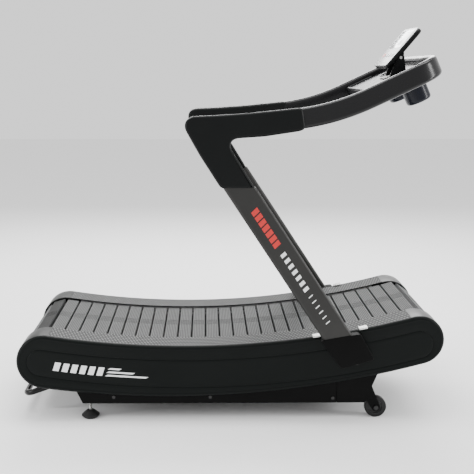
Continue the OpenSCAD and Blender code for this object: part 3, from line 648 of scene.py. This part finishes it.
# ---------------------------------------------------------------------------------------------
# Belt works. Extruded slats ride on two black toothed carrier belts, which run over nylon
# pulleys on steel shafts and over a row of ground ball bearings on each side.
# ---------------------------------------------------------------------------------------------
slat_aluminium = paint("anodised slat", (0.07, 0.071, 0.072), 0.42, metallic=0.7)
pattern(slat_aluminium, 30, "Roughness", 0.34, 0.5, stretch=(8, 1, 8))
finish_nodes(slat_aluminium, "slats_top", "slats_bottom", "slats_front", "slats_rear")
carrier_rubber = paint("carrier belt rubber", (0.012, 0.012, 0.012), 0.7)
pattern(carrier_rubber, 400, "Bump", 0.0006, 0.4)
finish_nodes(carrier_rubber, "carriers_top", "carriers_bottom", "carriers_front", "carriers_rear")
pulley_nylon = paint("pulley nylon", (0.02, 0.02, 0.02), 0.5)
pattern(pulley_nylon, 80, "Roughness", 0.42, 0.58)
finish_nodes(pulley_nylon, "front_pulleys", "rear_pulleys")
bearing_steel = paint("ground bearing steel", (0.5, 0.5, 0.51), 0.22, metallic=1.0)
pattern(bearing_steel, 260, "Roughness", 0.16, 0.3)
finish_nodes(bearing_steel, "guide_bearings", "shaft_bearings")
zinc_steel = paint("zinc plated steel", (0.55, 0.55, 0.54), 0.3, metallic=1.0)
pattern(zinc_steel, 120, "Roughness", 0.22, 0.42)
finish_nodes(zinc_steel, "front_shaft", "rear_shaft")

# ---------------------------------------------------------------------------------------------
# Frame. Welded steel beams and cross tubes, two cut plates and the folded lower panels, all in
# black powder coat. The panels are held by button-head screws.
# ---------------------------------------------------------------------------------------------
frame_paint = paint("black powder coat", (0.002, 0.002, 0.002), 0.4, specular=0.06)
pattern(frame_paint, 1400, "Bump", 0.0003, 0.3)
pattern(frame_paint, 7, "Roughness", 0.38, 0.52)
finish_nodes(frame_paint, "base_frame", "frame_plates", "guide_rails", "lower_panels", "wheel_forks")
finish_nodes(zinc_steel, "foot_plates", "upright_bolts")
black_zinc = paint("black zinc screw", (0.03, 0.03, 0.03), 0.3, metallic=0.8)
pattern(black_zinc, 200, "Roughness", 0.24, 0.4)
finish_nodes(black_zinc, "panel_screws", "wheel_axles")

# ---------------------------------------------------------------------------------------------
# Rear lift handle. One bent steel bar, powder coated in gloss black, welded to the outside of the
# frame plates; the machine is tipped onto its front wheels by it.
# ---------------------------------------------------------------------------------------------
gloss_paint = paint("gloss black coat", (0.004, 0.004, 0.004), 0.2, specular=0.15, coat=0.05)
pattern(gloss_paint, 16, "Roughness", 0.16, 0.26)
finish_nodes(gloss_paint, "rear_lift_handle")

# ---------------------------------------------------------------------------------------------
# Uprights. Two flat oval steel tubes lean back from boxed feet bolted through the frame plates.
# They are powder coated in a warm dark metallic grey and carry a printed bar and dashes.
# ---------------------------------------------------------------------------------------------
upright_paint = paint("upright metallic coat", (0.028, 0.0275, 0.026), 0.36, metallic=0.2, specular=0.3)
pattern(upright_paint, 2200, "Bump", 0.0002, 0.25)
pattern(upright_paint, 3, "Base Color", (0.017, 0.0166, 0.0158), (0.023, 0.0225, 0.0213))
finish_nodes(upright_paint, "upright_left", "upright_right")
red_ink = paint("red stripe ink", (0.5, 0.012, 0.01), 0.4)
pattern(red_ink, 60, "Roughness", 0.36, 0.46)
upright_base = np.array([0.441, 0.385, 0.375])
upright_tilt = math.radians(33.4)
upright_lean = math.radians(2.6)
tube_half = 0.017


def upright_point(run, up, out, side):
    """A point on an upright: across its face, up its length and out of its face, in metres."""
    x = run * math.cos(upright_tilt) - up * math.sin(upright_tilt)
    z = run * math.sin(upright_tilt) + up * math.cos(upright_tilt)
    y = out * math.cos(upright_lean) - z * math.sin(upright_lean)
    z = z * math.cos(upright_lean) + out * math.sin(upright_lean)
    return (upright_base[0] + x, side * (upright_base[1] + y), upright_base[2] + z)


def face_bar(run0, run1, up0, up1, slant, side):
    flat = [(run0, up0), (run1, up0 + slant), (run1, up1 + slant), (run0, up1)]
    return [upright_point(r, u, tube_half + t, side) for t in (0.0001, 0.0004) for r, u in flat]


for side, hand in ((1, "left"), (-1, "right")):
    red = bars_mesh(f"upright_bar_{hand}", [face_bar(-0.016, 0.016, 0.452 + 0.026 * k, 0.472 + 0.026 * k,
        0.006, side) for k in range(7)], red_ink)
    white = bars_mesh(f"upright_dashes_{hand}", [face_bar(-0.012, 0.012, 0.235 + 0.028 * k,
        0.25 + 0.028 * k, 0.004, side) for k in range(7)]
        + [face_bar(-0.01, 0.01, 0.075 + 0.026 * k, 0.079 + 0.026 * k, 0.003, side) for k in range(6)],
        stripe_ink)
    for piece in (red, white):
        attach(piece, "machine")

# ---------------------------------------------------------------------------------------------
# Elbow sleeves. Soft black rubber mouldings wrap the bend where each upright meets the handrail
# and run on along the rail as its rear grip. They are pushed on before the rail is joined.
# ---------------------------------------------------------------------------------------------
def smooth_loop(corners, gap, passes):
    """Evenly spaced points along a closed polygon, with its corners slightly eased."""
    line = np.array(corners + corners[:1], float)
    lengths = np.concatenate([[0], np.cumsum(np.linalg.norm(np.diff(line, axis=0), axis=1))])
    steps = int(lengths[-1] / gap)
    at = np.linspace(0, lengths[-1], steps + 1)[:-1]
    loop = np.stack([np.interp(at, lengths, line[:, k]) for k in (0, 1)], 1)
    for _ in range(passes):
        loop = 0.5 * loop + 0.25 * (np.roll(loop, 1, 0) + np.roll(loop, -1, 0))
    return loop


def inset_loop(loop, inset):
    """Moves each point of a closed loop inwards along its normal, easing it as it goes."""
    area = np.sum(loop[:, 0] * np.roll(loop[:, 1], -1) - np.roll(loop[:, 0], -1) * loop[:, 1])
    steps = max(1, math.ceil(inset / 0.001))
    for _ in range(steps):
        run = np.roll(loop, -1, 0) - np.roll(loop, 1, 0)
        normal = np.stack([-run[:, 1], run[:, 0]], 1) / np.linalg.norm(run, axis=1)[:, None]
        loop = loop + normal * inset / steps * (1 if area > 0 else -1)
        loop = 0.7 * loop + 0.15 * (np.roll(loop, 1, 0) + np.roll(loop, -1, 0))
    return loop


def soft_slab(name, loop, half, edge, place, material, steps=6):
    """A slab with rounded edges: side-view loop, half thickness, edge radius; place maps (u, t, v)."""
    turns = np.radians(np.linspace(0, 90, steps + 1))
    rings = [(inset_loop(loop, edge * (1 - math.sin(t))), -half + edge * (1 - math.cos(t)))
        for t in turns]
    rings += [(line, -depth) for line, depth in reversed(rings)]
    count = len(loop)
    points = [place(u, depth, v) for line, depth in rings for u, v in line]
    faces = [(r * count + i, r * count + (i + 1) % count, (r + 1) * count + (i + 1) % count,
        (r + 1) * count + i) for r in range(len(rings) - 1) for i in range(count)]
    faces += [tuple(range(count)), tuple(range((len(rings) - 1) * count, len(rings) * count))]
    return new_mesh(name, points, faces, material, angle=35)


sleeve_rubber = paint("sleeve rubber", (0.0024, 0.003, 0.003), 0.3, specular=0.13)
pattern(sleeve_rubber, 700, "Bump", 0.0003, 0.16)
pattern(sleeve_rubber, 8, "Roughness", 0.34, 0.5)
sleeve_line = [(-0.038, 0.986), (-0.121, 1.115)]
sleeve_line += [tuple(p) for p in arc((-0.144, 1.233), 0.038, 210, 95, 10)]
sleeve_line += [(-0.048, 1.275), (0.072, 1.283), (0.193, 1.295), (0.282, 1.3045), (0.295, 1.2205),
    (0.275, 1.212), (0.134, 1.191)]
sleeve_line += [tuple(p) for p in arc((0.026, 1.156), 0.028, 90, 200, 8)]
sleeve_line += [(0.098, 0.986)]
sleeve_y = 0.343
sleeve_z = 1.240
for side, hand in ((1, "left"), (-1, "right")):
    def sleeve_place(u, depth, v, side=side):
        rise = v - sleeve_z
        return (u, side * (sleeve_y + depth * math.cos(upright_lean) - rise * math.sin(upright_lean)),
            sleeve_z + rise * math.cos(upright_lean) + depth * math.sin(upright_lean))
    sleeve = soft_slab(f"elbow_rubber_{hand}", smooth_loop(sleeve_line, 0.006, 5), 0.024, 0.011,
        sleeve_place, sleeve_rubber)
    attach(sleeve, "machine")
    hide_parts(f"elbow_sleeve_{hand}")

# ---------------------------------------------------------------------------------------------
# Upright feet. A black powder-coated steel boot boxes in the lower end of each upright and is
# bolted through the side cover to the frame plate.
# ---------------------------------------------------------------------------------------------
boot_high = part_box("upright_feet")[1]
boot_in = 0.3654
boot_corners = [(0.369, 0.365), (0.532, 0.394), (0.594, 0.283), (0.459, 0.244)]
boot_middle = (boot_in + boot_high[1]) / 2
boot_half = (boot_high[1] - boot_in) / 2
for side, hand in ((1, "left"), (-1, "right")):
    boot = soft_slab(f"upright_boot_{hand}", smooth_loop(boot_corners, 0.004, 10), boot_half, 0.004,
        lambda u, depth, v, side=side: (u, side * (boot_middle + depth), v), frame_paint, steps=4)
    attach(boot, "machine")
    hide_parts("upright_feet")

# ---------------------------------------------------------------------------------------------
# Handrail. One oval steel tube leaves each sleeve, curves up and closes in a loop ahead of the
# runner, with rounded corners. It is powder coated in a glossy dark metallic.
# ---------------------------------------------------------------------------------------------
rail_paint = paint("handrail metallic coat", (0.0045, 0.0045, 0.005), 0.2, metallic=0.05, specular=0.2,
    coat=0.1)
pattern(rail_paint, 1800, "Bump", 0.0002, 0.15)
pattern(rail_paint, 9, "Roughness", 0.2, 0.3)
rail_tall = 0.082
rail_wide = 0.036
rail_corner = 0.016
rail_y = 0.340
rail_start = np.array([0.2885, 1.2625])
rail_slope = math.radians(25)
first_slope = math.radians(8.5)
bend_r = 0.950
loop_run = 0.300
loop_corner = 0.110
bend_centre = rail_start + bend_r * np.array([-math.sin(first_slope), math.cos(first_slope)])
loop_start = bend_centre + bend_r * np.array([math.sin(rail_slope), -math.cos(rail_slope)])


def loop_place(s, y, n):
    """A point in the sloping plane of the handrail loop: along the slope, across, above it."""
    return (loop_start[0] + s * math.cos(rail_slope) - n * math.sin(rail_slope), y,
        loop_start[1] + s * math.sin(rail_slope) + n * math.cos(rail_slope))


def oval(tall, wide, corner):
    """Outline of a tube's rounded section, up and across."""
    points = []
    for k, (a, b) in enumerate(((1, 1), (-1, 1), (-1, -1), (1, -1))):
        for t in np.radians(np.linspace(90 * k, 90 * k + 90, 9)):
            points.append((a * (tall / 2 - corner) + corner * math.cos(t),
                b * (wide / 2 - corner) + corner * math.sin(t)))
    return points


slope_up = (-math.sin(rail_slope), 0, math.cos(rail_slope))
slope_run = np.array([math.cos(rail_slope), 0, math.sin(rail_slope)])
first_run = np.array([math.cos(first_slope), math.sin(first_slope)])
arm = []
for back in (0.060, 0.030, 0.0):
    x, z = rail_start - back * first_run
    arm.append(((x, rail_y, z), (-math.sin(first_slope), 0, math.cos(first_slope)), (0, 1, 0)))
for t in np.linspace(first_slope, rail_slope, 19)[1:]:
    arm.append(((bend_centre[0] + bend_r * math.sin(t), rail_y, bend_centre[1] - bend_r * math.cos(t)),
        (-math.sin(t), 0, math.cos(t)), (0, 1, 0)))
for s in (0.05, 0.10, 0.15):
    arm.append((loop_place(s, rail_y, 0), slope_up, (0, 1, 0)))
for t in np.radians(np.linspace(0, 90, 19)):
    place = loop_place(loop_run - loop_corner + loop_corner * math.sin(t),
        rail_y - loop_corner + loop_corner * math.cos(t), 0)
    arm.append((place, slope_up, tuple(math.sin(t) * slope_run + np.array([0, math.cos(t), 0]))))
arm.append((loop_place(loop_run, 0, 0), slope_up, tuple(slope_run)))
flip = lambda v: (v[0], -v[1], v[2])
arm += [(flip(p), flip(u), flip(w)) for p, u, w in reversed(arm[:-1])]
rail = sweep("handrail_tube", arm, oval(rail_tall, rail_wide, rail_corner), rail_paint)
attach(rail, "machine")
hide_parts("handrail_arms", "handrail_loop")

# ---------------------------------------------------------------------------------------------
# Console tray. A moulded shelf fills the loop between the rails, with a deep belly under its
# middle, a raised rim along its rear edge and a hole for each bottle cup. Clips hold it.
# ---------------------------------------------------------------------------------------------
tray_plastic = paint("tray plastic", (0.009, 0.0095, 0.0102), 0.34, specular=0.14)
pattern(tray_plastic, 900, "Bump", 0.0003, 0.15)
pattern(tray_plastic, 8, "Roughness", 0.3, 0.42)
finish_nodes(tray_plastic, "console_tray", "console_bracket")
rim_r = 0.006
rim_section = [(rim_r * math.cos(t), rim_r * math.sin(t)) for t in np.radians(np.arange(0, 360, 30))]
rim_line = [(0.150, 0.3185), (0.045, 0.3185), (0.033, 0.314), (0.027, 0.302), (0.027, 0.15),
    (0.027, 0.0), (0.027, -0.15), (0.027, -0.302), (0.033, -0.314), (0.045, -0.3185), (0.150, -0.3185)]
rim_stations = []
for k, (s, y) in enumerate(rim_line):
    before, after = rim_line[max(k - 1, 0)], rim_line[min(k + 1, len(rim_line) - 1)]
    run = np.array([after[0] - before[0], after[1] - before[1]])
    run = run / np.linalg.norm(run)
    across = -run[1] * slope_run + np.array([0, run[0], 0])
    rim_stations.append((loop_place(s, y, 0.013), slope_up, tuple(across)))
tray_rim = sweep("tray_rim", rim_stations, rim_section, tray_plastic, angle=60)
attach(tray_rim, "machine")

# ---------------------------------------------------------------------------------------------
# Bottle cups. Two smooth dark blue-black moulded cups drop into the tray and hang by their rims.
# ---------------------------------------------------------------------------------------------
def lathe(name, centre, along, start, outline, material, steps=64, angle=40):
    """Turns an outline of (radius, height) about an axis; zero radius closes it at a pole."""
    along = np.array(along, float) / np.linalg.norm(along)
    start = np.array(start, float) - np.dot(start, along) * along
    start = start / np.linalg.norm(start)
    second = np.cross(along, start)
    points, rings = [], []
    for radius, height in outline:
        middle = np.array(centre) + along * height
        if radius == 0:
            rings.append([len(points)])
            points.append(middle)
            continue
        rings.append(list(range(len(points), len(points) + steps)))
        points.extend(middle + radius * (math.cos(t) * start + math.sin(t) * second)
            for t in np.linspace(0, 2 * math.pi, steps + 1)[:-1])
    faces = []
    pairs = list(zip(rings, rings[1:]))
    if outline[0][0] and outline[-1][0]:
        pairs.append((rings[-1], rings[0]))
    for low, high in pairs:
        for k in range(steps):
            n = (k + 1) % steps
            face = [low[k % len(low)], low[n % len(low)], high[n % len(high)], high[k % len(high)]]
            faces.append(tuple(dict.fromkeys(face)))
    return new_mesh(name, points, faces, material, angle=angle)


cup_plastic = paint("cup plastic", (0.003, 0.004, 0.009), 0.24, specular=0.2)
pattern(cup_plastic, 14, "Roughness", 0.2, 0.32)
cup_outline = [(0, 0), (0.040, 0), (0.045, 0.001), (0.0495, 0.0045), (0.0515, 0.010), (0.052, 0.016),
    (0.052, 0.1305), (0.0552, 0.1315), (0.056, 0.1332), (0.0552, 0.1346), (0.053, 0.135), (0.0505, 0.1344),
    (0.0492, 0.1325), (0.049, 0.130), (0.049, 0.016), (0.048, 0.010), (0.045, 0.0055), (0.040, 0.0034),
    (0, 0.003)]
for side, hand in ((1, "left"), (-1, "right")):
    cup = lathe(f"bottle_holder_{hand}", loop_place(0.208, side * 0.159, -0.120), slope_up, slope_run,
        cup_outline, cup_plastic)
    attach(cup, "machine")
    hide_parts(f"bottle_cup_{hand}")

# ---------------------------------------------------------------------------------------------
# Console. A moulded two-part housing with a pale face and a black back tilts on a steel pin
# between the bracket's ears. It holds a dark glass window with plain dials and bars.
# ---------------------------------------------------------------------------------------------
console_low = np.array([0.648, 1.466])
console_lean = math.radians(40)
console_wide = 0.262
console_tall = 0.205


def console_place(out, y, up):
    """A point on the console: behind its face, across, and up the face from its low edge."""
    return (console_low[0] + out * math.cos(console_lean) + up * math.sin(console_lean), y,
        console_low[1] - out * math.sin(console_lean) + up * math.cos(console_lean))


def round_card(wide, tall, corner):
    """Closed outline of a rounded rectangle about the origin."""
    points = []
    for k, (a, b) in enumerate(((1, 1), (-1, 1), (-1, -1), (1, -1))):
        points += [tuple(p) for p in arc((a * (wide / 2 - corner), b * (tall / 2 - corner)), corner,
            90 * k, 90 * k + 90, 10)]
    return np.array(points)


def card_place(shift_y, middle_up, depth_middle):
    return lambda u, depth, v: console_place(depth_middle + depth, shift_y + u, middle_up + v)


console_shell = paint("console back plastic", (0.0024, 0.0026, 0.0028), 0.34, specular=0.12)
pattern(console_shell, 900, "Bump", 0.0003, 0.15)
pattern(console_shell, 9, "Roughness", 0.3, 0.42)
console_face = paint("console face plastic", (0.035, 0.036, 0.038), 0.2, coat=0.1)
pattern(console_face, 1200, "Bump", 0.0002, 0.1)
pattern(console_face, 11, "Roughness", 0.24, 0.34)
back_shell = soft_slab("console_back_shell", round_card(console_wide, console_tall, 0.026), 0.009, 0.006,
    card_place(0, console_tall / 2, 0.013), console_shell)
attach(back_shell, "console")
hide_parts("console_housing")
face_plate = soft_slab("console_face_plate", round_card(console_wide - 0.002, console_tall - 0.002, 0.025),
    0.0025, 0.0018, card_place(0, console_tall / 2, 0.0025), console_face, steps=4)
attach(face_plate, "console")
pin_place = np.array([0.728, 1.500])
for side, hand in ((1, "left"), (-1, "right")):
    lug_line = [tuple(p) for p in arc(pin_place, 0.014, 150, 370, 20)]
    lug_line += [(0.7455, 1.520), (0.733, 1.536), (0.700, 1.492)]
    lug = soft_slab(f"console_lug_{hand}", smooth_loop(lug_line, 0.003, 2), 0.0165, 0.002,
        lambda u, depth, v, side=side: (u, side * (0.0245 + depth), v), console_shell, steps=3)
    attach(lug, "console")
finish_nodes(zinc_steel, "console_pin")

screen_glass = paint("screen glass", (0.008, 0.009, 0.011), 0.06, coat=0.6)
pattern(screen_glass, 5, "Roughness", 0.05, 0.09)
glass = soft_slab("screen_window", round_card(0.210, 0.096, 0.006), 0.0007, 0.0005,
    card_place(0, 0.144, -0.0004), screen_glass, steps=3)
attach(glass, "console")
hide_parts("console_screen")
mark_ink = paint("pale screen mark", (0.32, 0.36, 0.38), 0.35)
pattern(mark_ink, 90, "Roughness", 0.3, 0.4)


def flat_marks(name, cards, out, thick, material, body):
    """Thin rectangles on the console's face, each (y, up, wide, tall)."""
    points, faces = [], []
    for y, up, wide, tall in cards:
        start = len(points)
        for depth in (out, out - thick):
            points += [console_place(depth, y + a * wide / 2, up + b * tall / 2)
                for a, b in ((-1, -1), (1, -1), (1, 1), (-1, 1))]
        faces += [tuple(start + i for i in face) for face in ((0, 3, 2, 1), (4, 5, 6, 7), (0, 1, 5, 4),
            (1, 2, 6, 5), (2, 3, 7, 6), (3, 0, 4, 7))]
    marks = new_mesh(name, points, faces, material, smooth=False)
    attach(marks, body)


bars = [(-0.088 + 0.0075 * k, 0.112 + 0.5 * h, 0.0045, h) for k, h in
    enumerate((0.010, 0.014, 0.019, 0.016, 0.023, 0.028, 0.024, 0.031, 0.026, 0.034, 0.029, 0.022))]
bars += [(y, up, 0.034, 0.0018) for y in (0.030, 0.078) for up in (0.118, 0.142, 0.166)]
bars += [(y, up + 0.010, 0.022, 0.006) for y in (0.030, 0.078) for up in (0.118, 0.142, 0.166)]
bars += [(-0.047, 0.180, 0.110, 0.0012)]
flat_marks("screen_marks", bars, -0.0011, 0.00012, mark_ink, "console")

# ---------------------------------------------------------------------------------------------
# Keys. Four domed push keys stand through the face: up, down, start and a red stop. Each is a
# moulded cap on its own spring, with a plain sign printed on it.
# ---------------------------------------------------------------------------------------------
key_plastic = paint("key plastic", (0.5, 0.505, 0.51), 0.38)
pattern(key_plastic, 900, "Bump", 0.0002, 0.2)
pattern(key_plastic, 30, "Roughness", 0.34, 0.44)
stop_plastic = paint("stop key plastic", (0.45, 0.02, 0.016), 0.36)
pattern(stop_plastic, 900, "Bump", 0.0002, 0.2)
pattern(stop_plastic, 30, "Roughness", 0.32, 0.42)
dark_ink = paint("dark key mark", (0.03, 0.03, 0.03), 0.4)
pattern(dark_ink, 90, "Roughness", 0.35, 0.45)
KEY_SIGNS = {
    "up": [(0, 0, 0.0016, 0.0085), (0, 0.002, 0.005, 0.0014), (0, 0.0004, 0.008, 0.0014)],
    "down": [(0, 0, 0.0016, 0.0085), (0, -0.002, 0.005, 0.0014), (0, -0.0004, 0.008, 0.0014)],
    "start": [(-0.002, 0, 0.0016, 0.008), (0.0, 0, 0.0016, 0.0054), (0.002, 0, 0.0016, 0.0026)],
    "stop": [(0, 0, 0.0062, 0.0062)]}
for key, y in (("up", -0.078), ("down", -0.026), ("start", 0.026), ("stop", 0.078)):
    plastic = stop_plastic if key == "stop" else key_plastic
    cap = soft_slab(f"{key}_key_cap", round_card(0.034, 0.018, 0.005), 0.004, 0.0016,
        card_place(y, 0.058, 0.002), plastic, steps=4)
    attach(cap, f"{key}_key")
    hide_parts(f"button_{key}")
    ink = stripe_ink if key == "stop" else dark_ink
    flat_marks(f"{key}_key_sign", [(y + a, 0.058 + b, w, h) for a, b, w, h in KEY_SIGNS[key]],
        -0.002, 0.00012, ink, f"{key}_key")

# ---------------------------------------------------------------------------------------------
# Levelling feet. Each is a domed black rubber pad moulded on a zinc plated threaded stud, locked
# under the frame beam by a hex nut.
# ---------------------------------------------------------------------------------------------
foot_rubber = paint("foot rubber", (0.005, 0.005, 0.005), 0.5, specular=0.3)
pattern(foot_rubber, 500, "Bump", 0.0004, 0.25)
pattern(foot_rubber, 12, "Roughness", 0.52, 0.66)
foot_outline = [(0, 0), (0.029, 0), (0.0305, 0.001), (0.0365, 0.0072), (0.0378, 0.0088), (0.038, 0.0105),
    (0.0374, 0.0122), (0.0355, 0.0140), (0.031, 0.0182), (0.025, 0.0238), (0.019, 0.0290), (0.0145, 0.0322),
    (0.0118, 0.0336), (0.0085, 0.0340), (0, 0.0340)]
stud_outline = [(0, 0.032)] + [(r, 0.032 + 0.0009 * (2 * k + j)) for k in range(52)
    for j, r in ((0, 0.0052), (1, 0.006))] + [(0, 0.128)]
for side, hand in ((1, "left"), (-1, "right")):
    low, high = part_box(f"foot_pad_{hand}")
    place = ((low[0] + high[0]) / 2, (low[1] + high[1]) / 2, 0)
    pad = lathe(f"foot_rubber_{hand}", place, (0, 0, 1), (1, 0, 0), foot_outline, foot_rubber)
    stud = lathe(f"foot_stud_{hand}", place, (0, 0, 1), (1, 0, 0), stud_outline, zinc_steel, steps=24,
        angle=20)
    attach(pad, f"{hand}_foot")
    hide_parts(f"foot_pad_{hand}")
    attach(stud, f"{hand}_foot")
finish_nodes(zinc_steel, "foot_nuts")

# ---------------------------------------------------------------------------------------------
# Transport wheels. Black urethane tyres moulded on plastic hubs turn on shouldered bolts
# between the front fork plates.
# ---------------------------------------------------------------------------------------------
tyre = paint("wheel urethane", (0.006, 0.006, 0.006), 0.46, specular=0.25)
pattern(tyre, 600, "Bump", 0.0003, 0.2)
pattern(tyre, 12, "Roughness", 0.4, 0.52)
hub_plastic = paint("wheel hub plastic", (0.02, 0.02, 0.02), 0.42, specular=0.3)
pattern(hub_plastic, 60, "Roughness", 0.36, 0.5)
tyre_outline = [(0.030, 0.0), (0.042, 0.0), (0.0445, 0.0012), (0.0457, 0.004), (0.046, 0.008),
    (0.046, 0.022), (0.0457, 0.026), (0.0445, 0.0288), (0.042, 0.030), (0.030, 0.030)]
hub_outline = [(0.0062, 0.0), (0.014, 0.0), (0.015, 0.001), (0.0155, 0.007), (0.027, 0.007),
    (0.0285, 0.001), (0.030, 0.0005), (0.030, 0.0295), (0.0285, 0.029), (0.027, 0.023), (0.0155, 0.023),
    (0.015, 0.029), (0.014, 0.030), (0.0062, 0.030)]
for side, hand in ((1, "left"), (-1, "right")):
    low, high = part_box(f"wheel_{hand}")
    place = ((low[0] + high[0]) / 2, low[1], (low[2] + high[2]) / 2)
    rim = lathe(f"wheel_tyre_{hand}", place, (0, 1, 0), (1, 0, 0), tyre_outline, tyre, angle=50)
    hub = lathe(f"wheel_hub_{hand}", place, (0, 1, 0), (1, 0, 0), hub_outline, hub_plastic)
    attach(rim, f"{hand}_wheel")
    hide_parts(f"wheel_{hand}")
    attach(hub, f"{hand}_wheel")
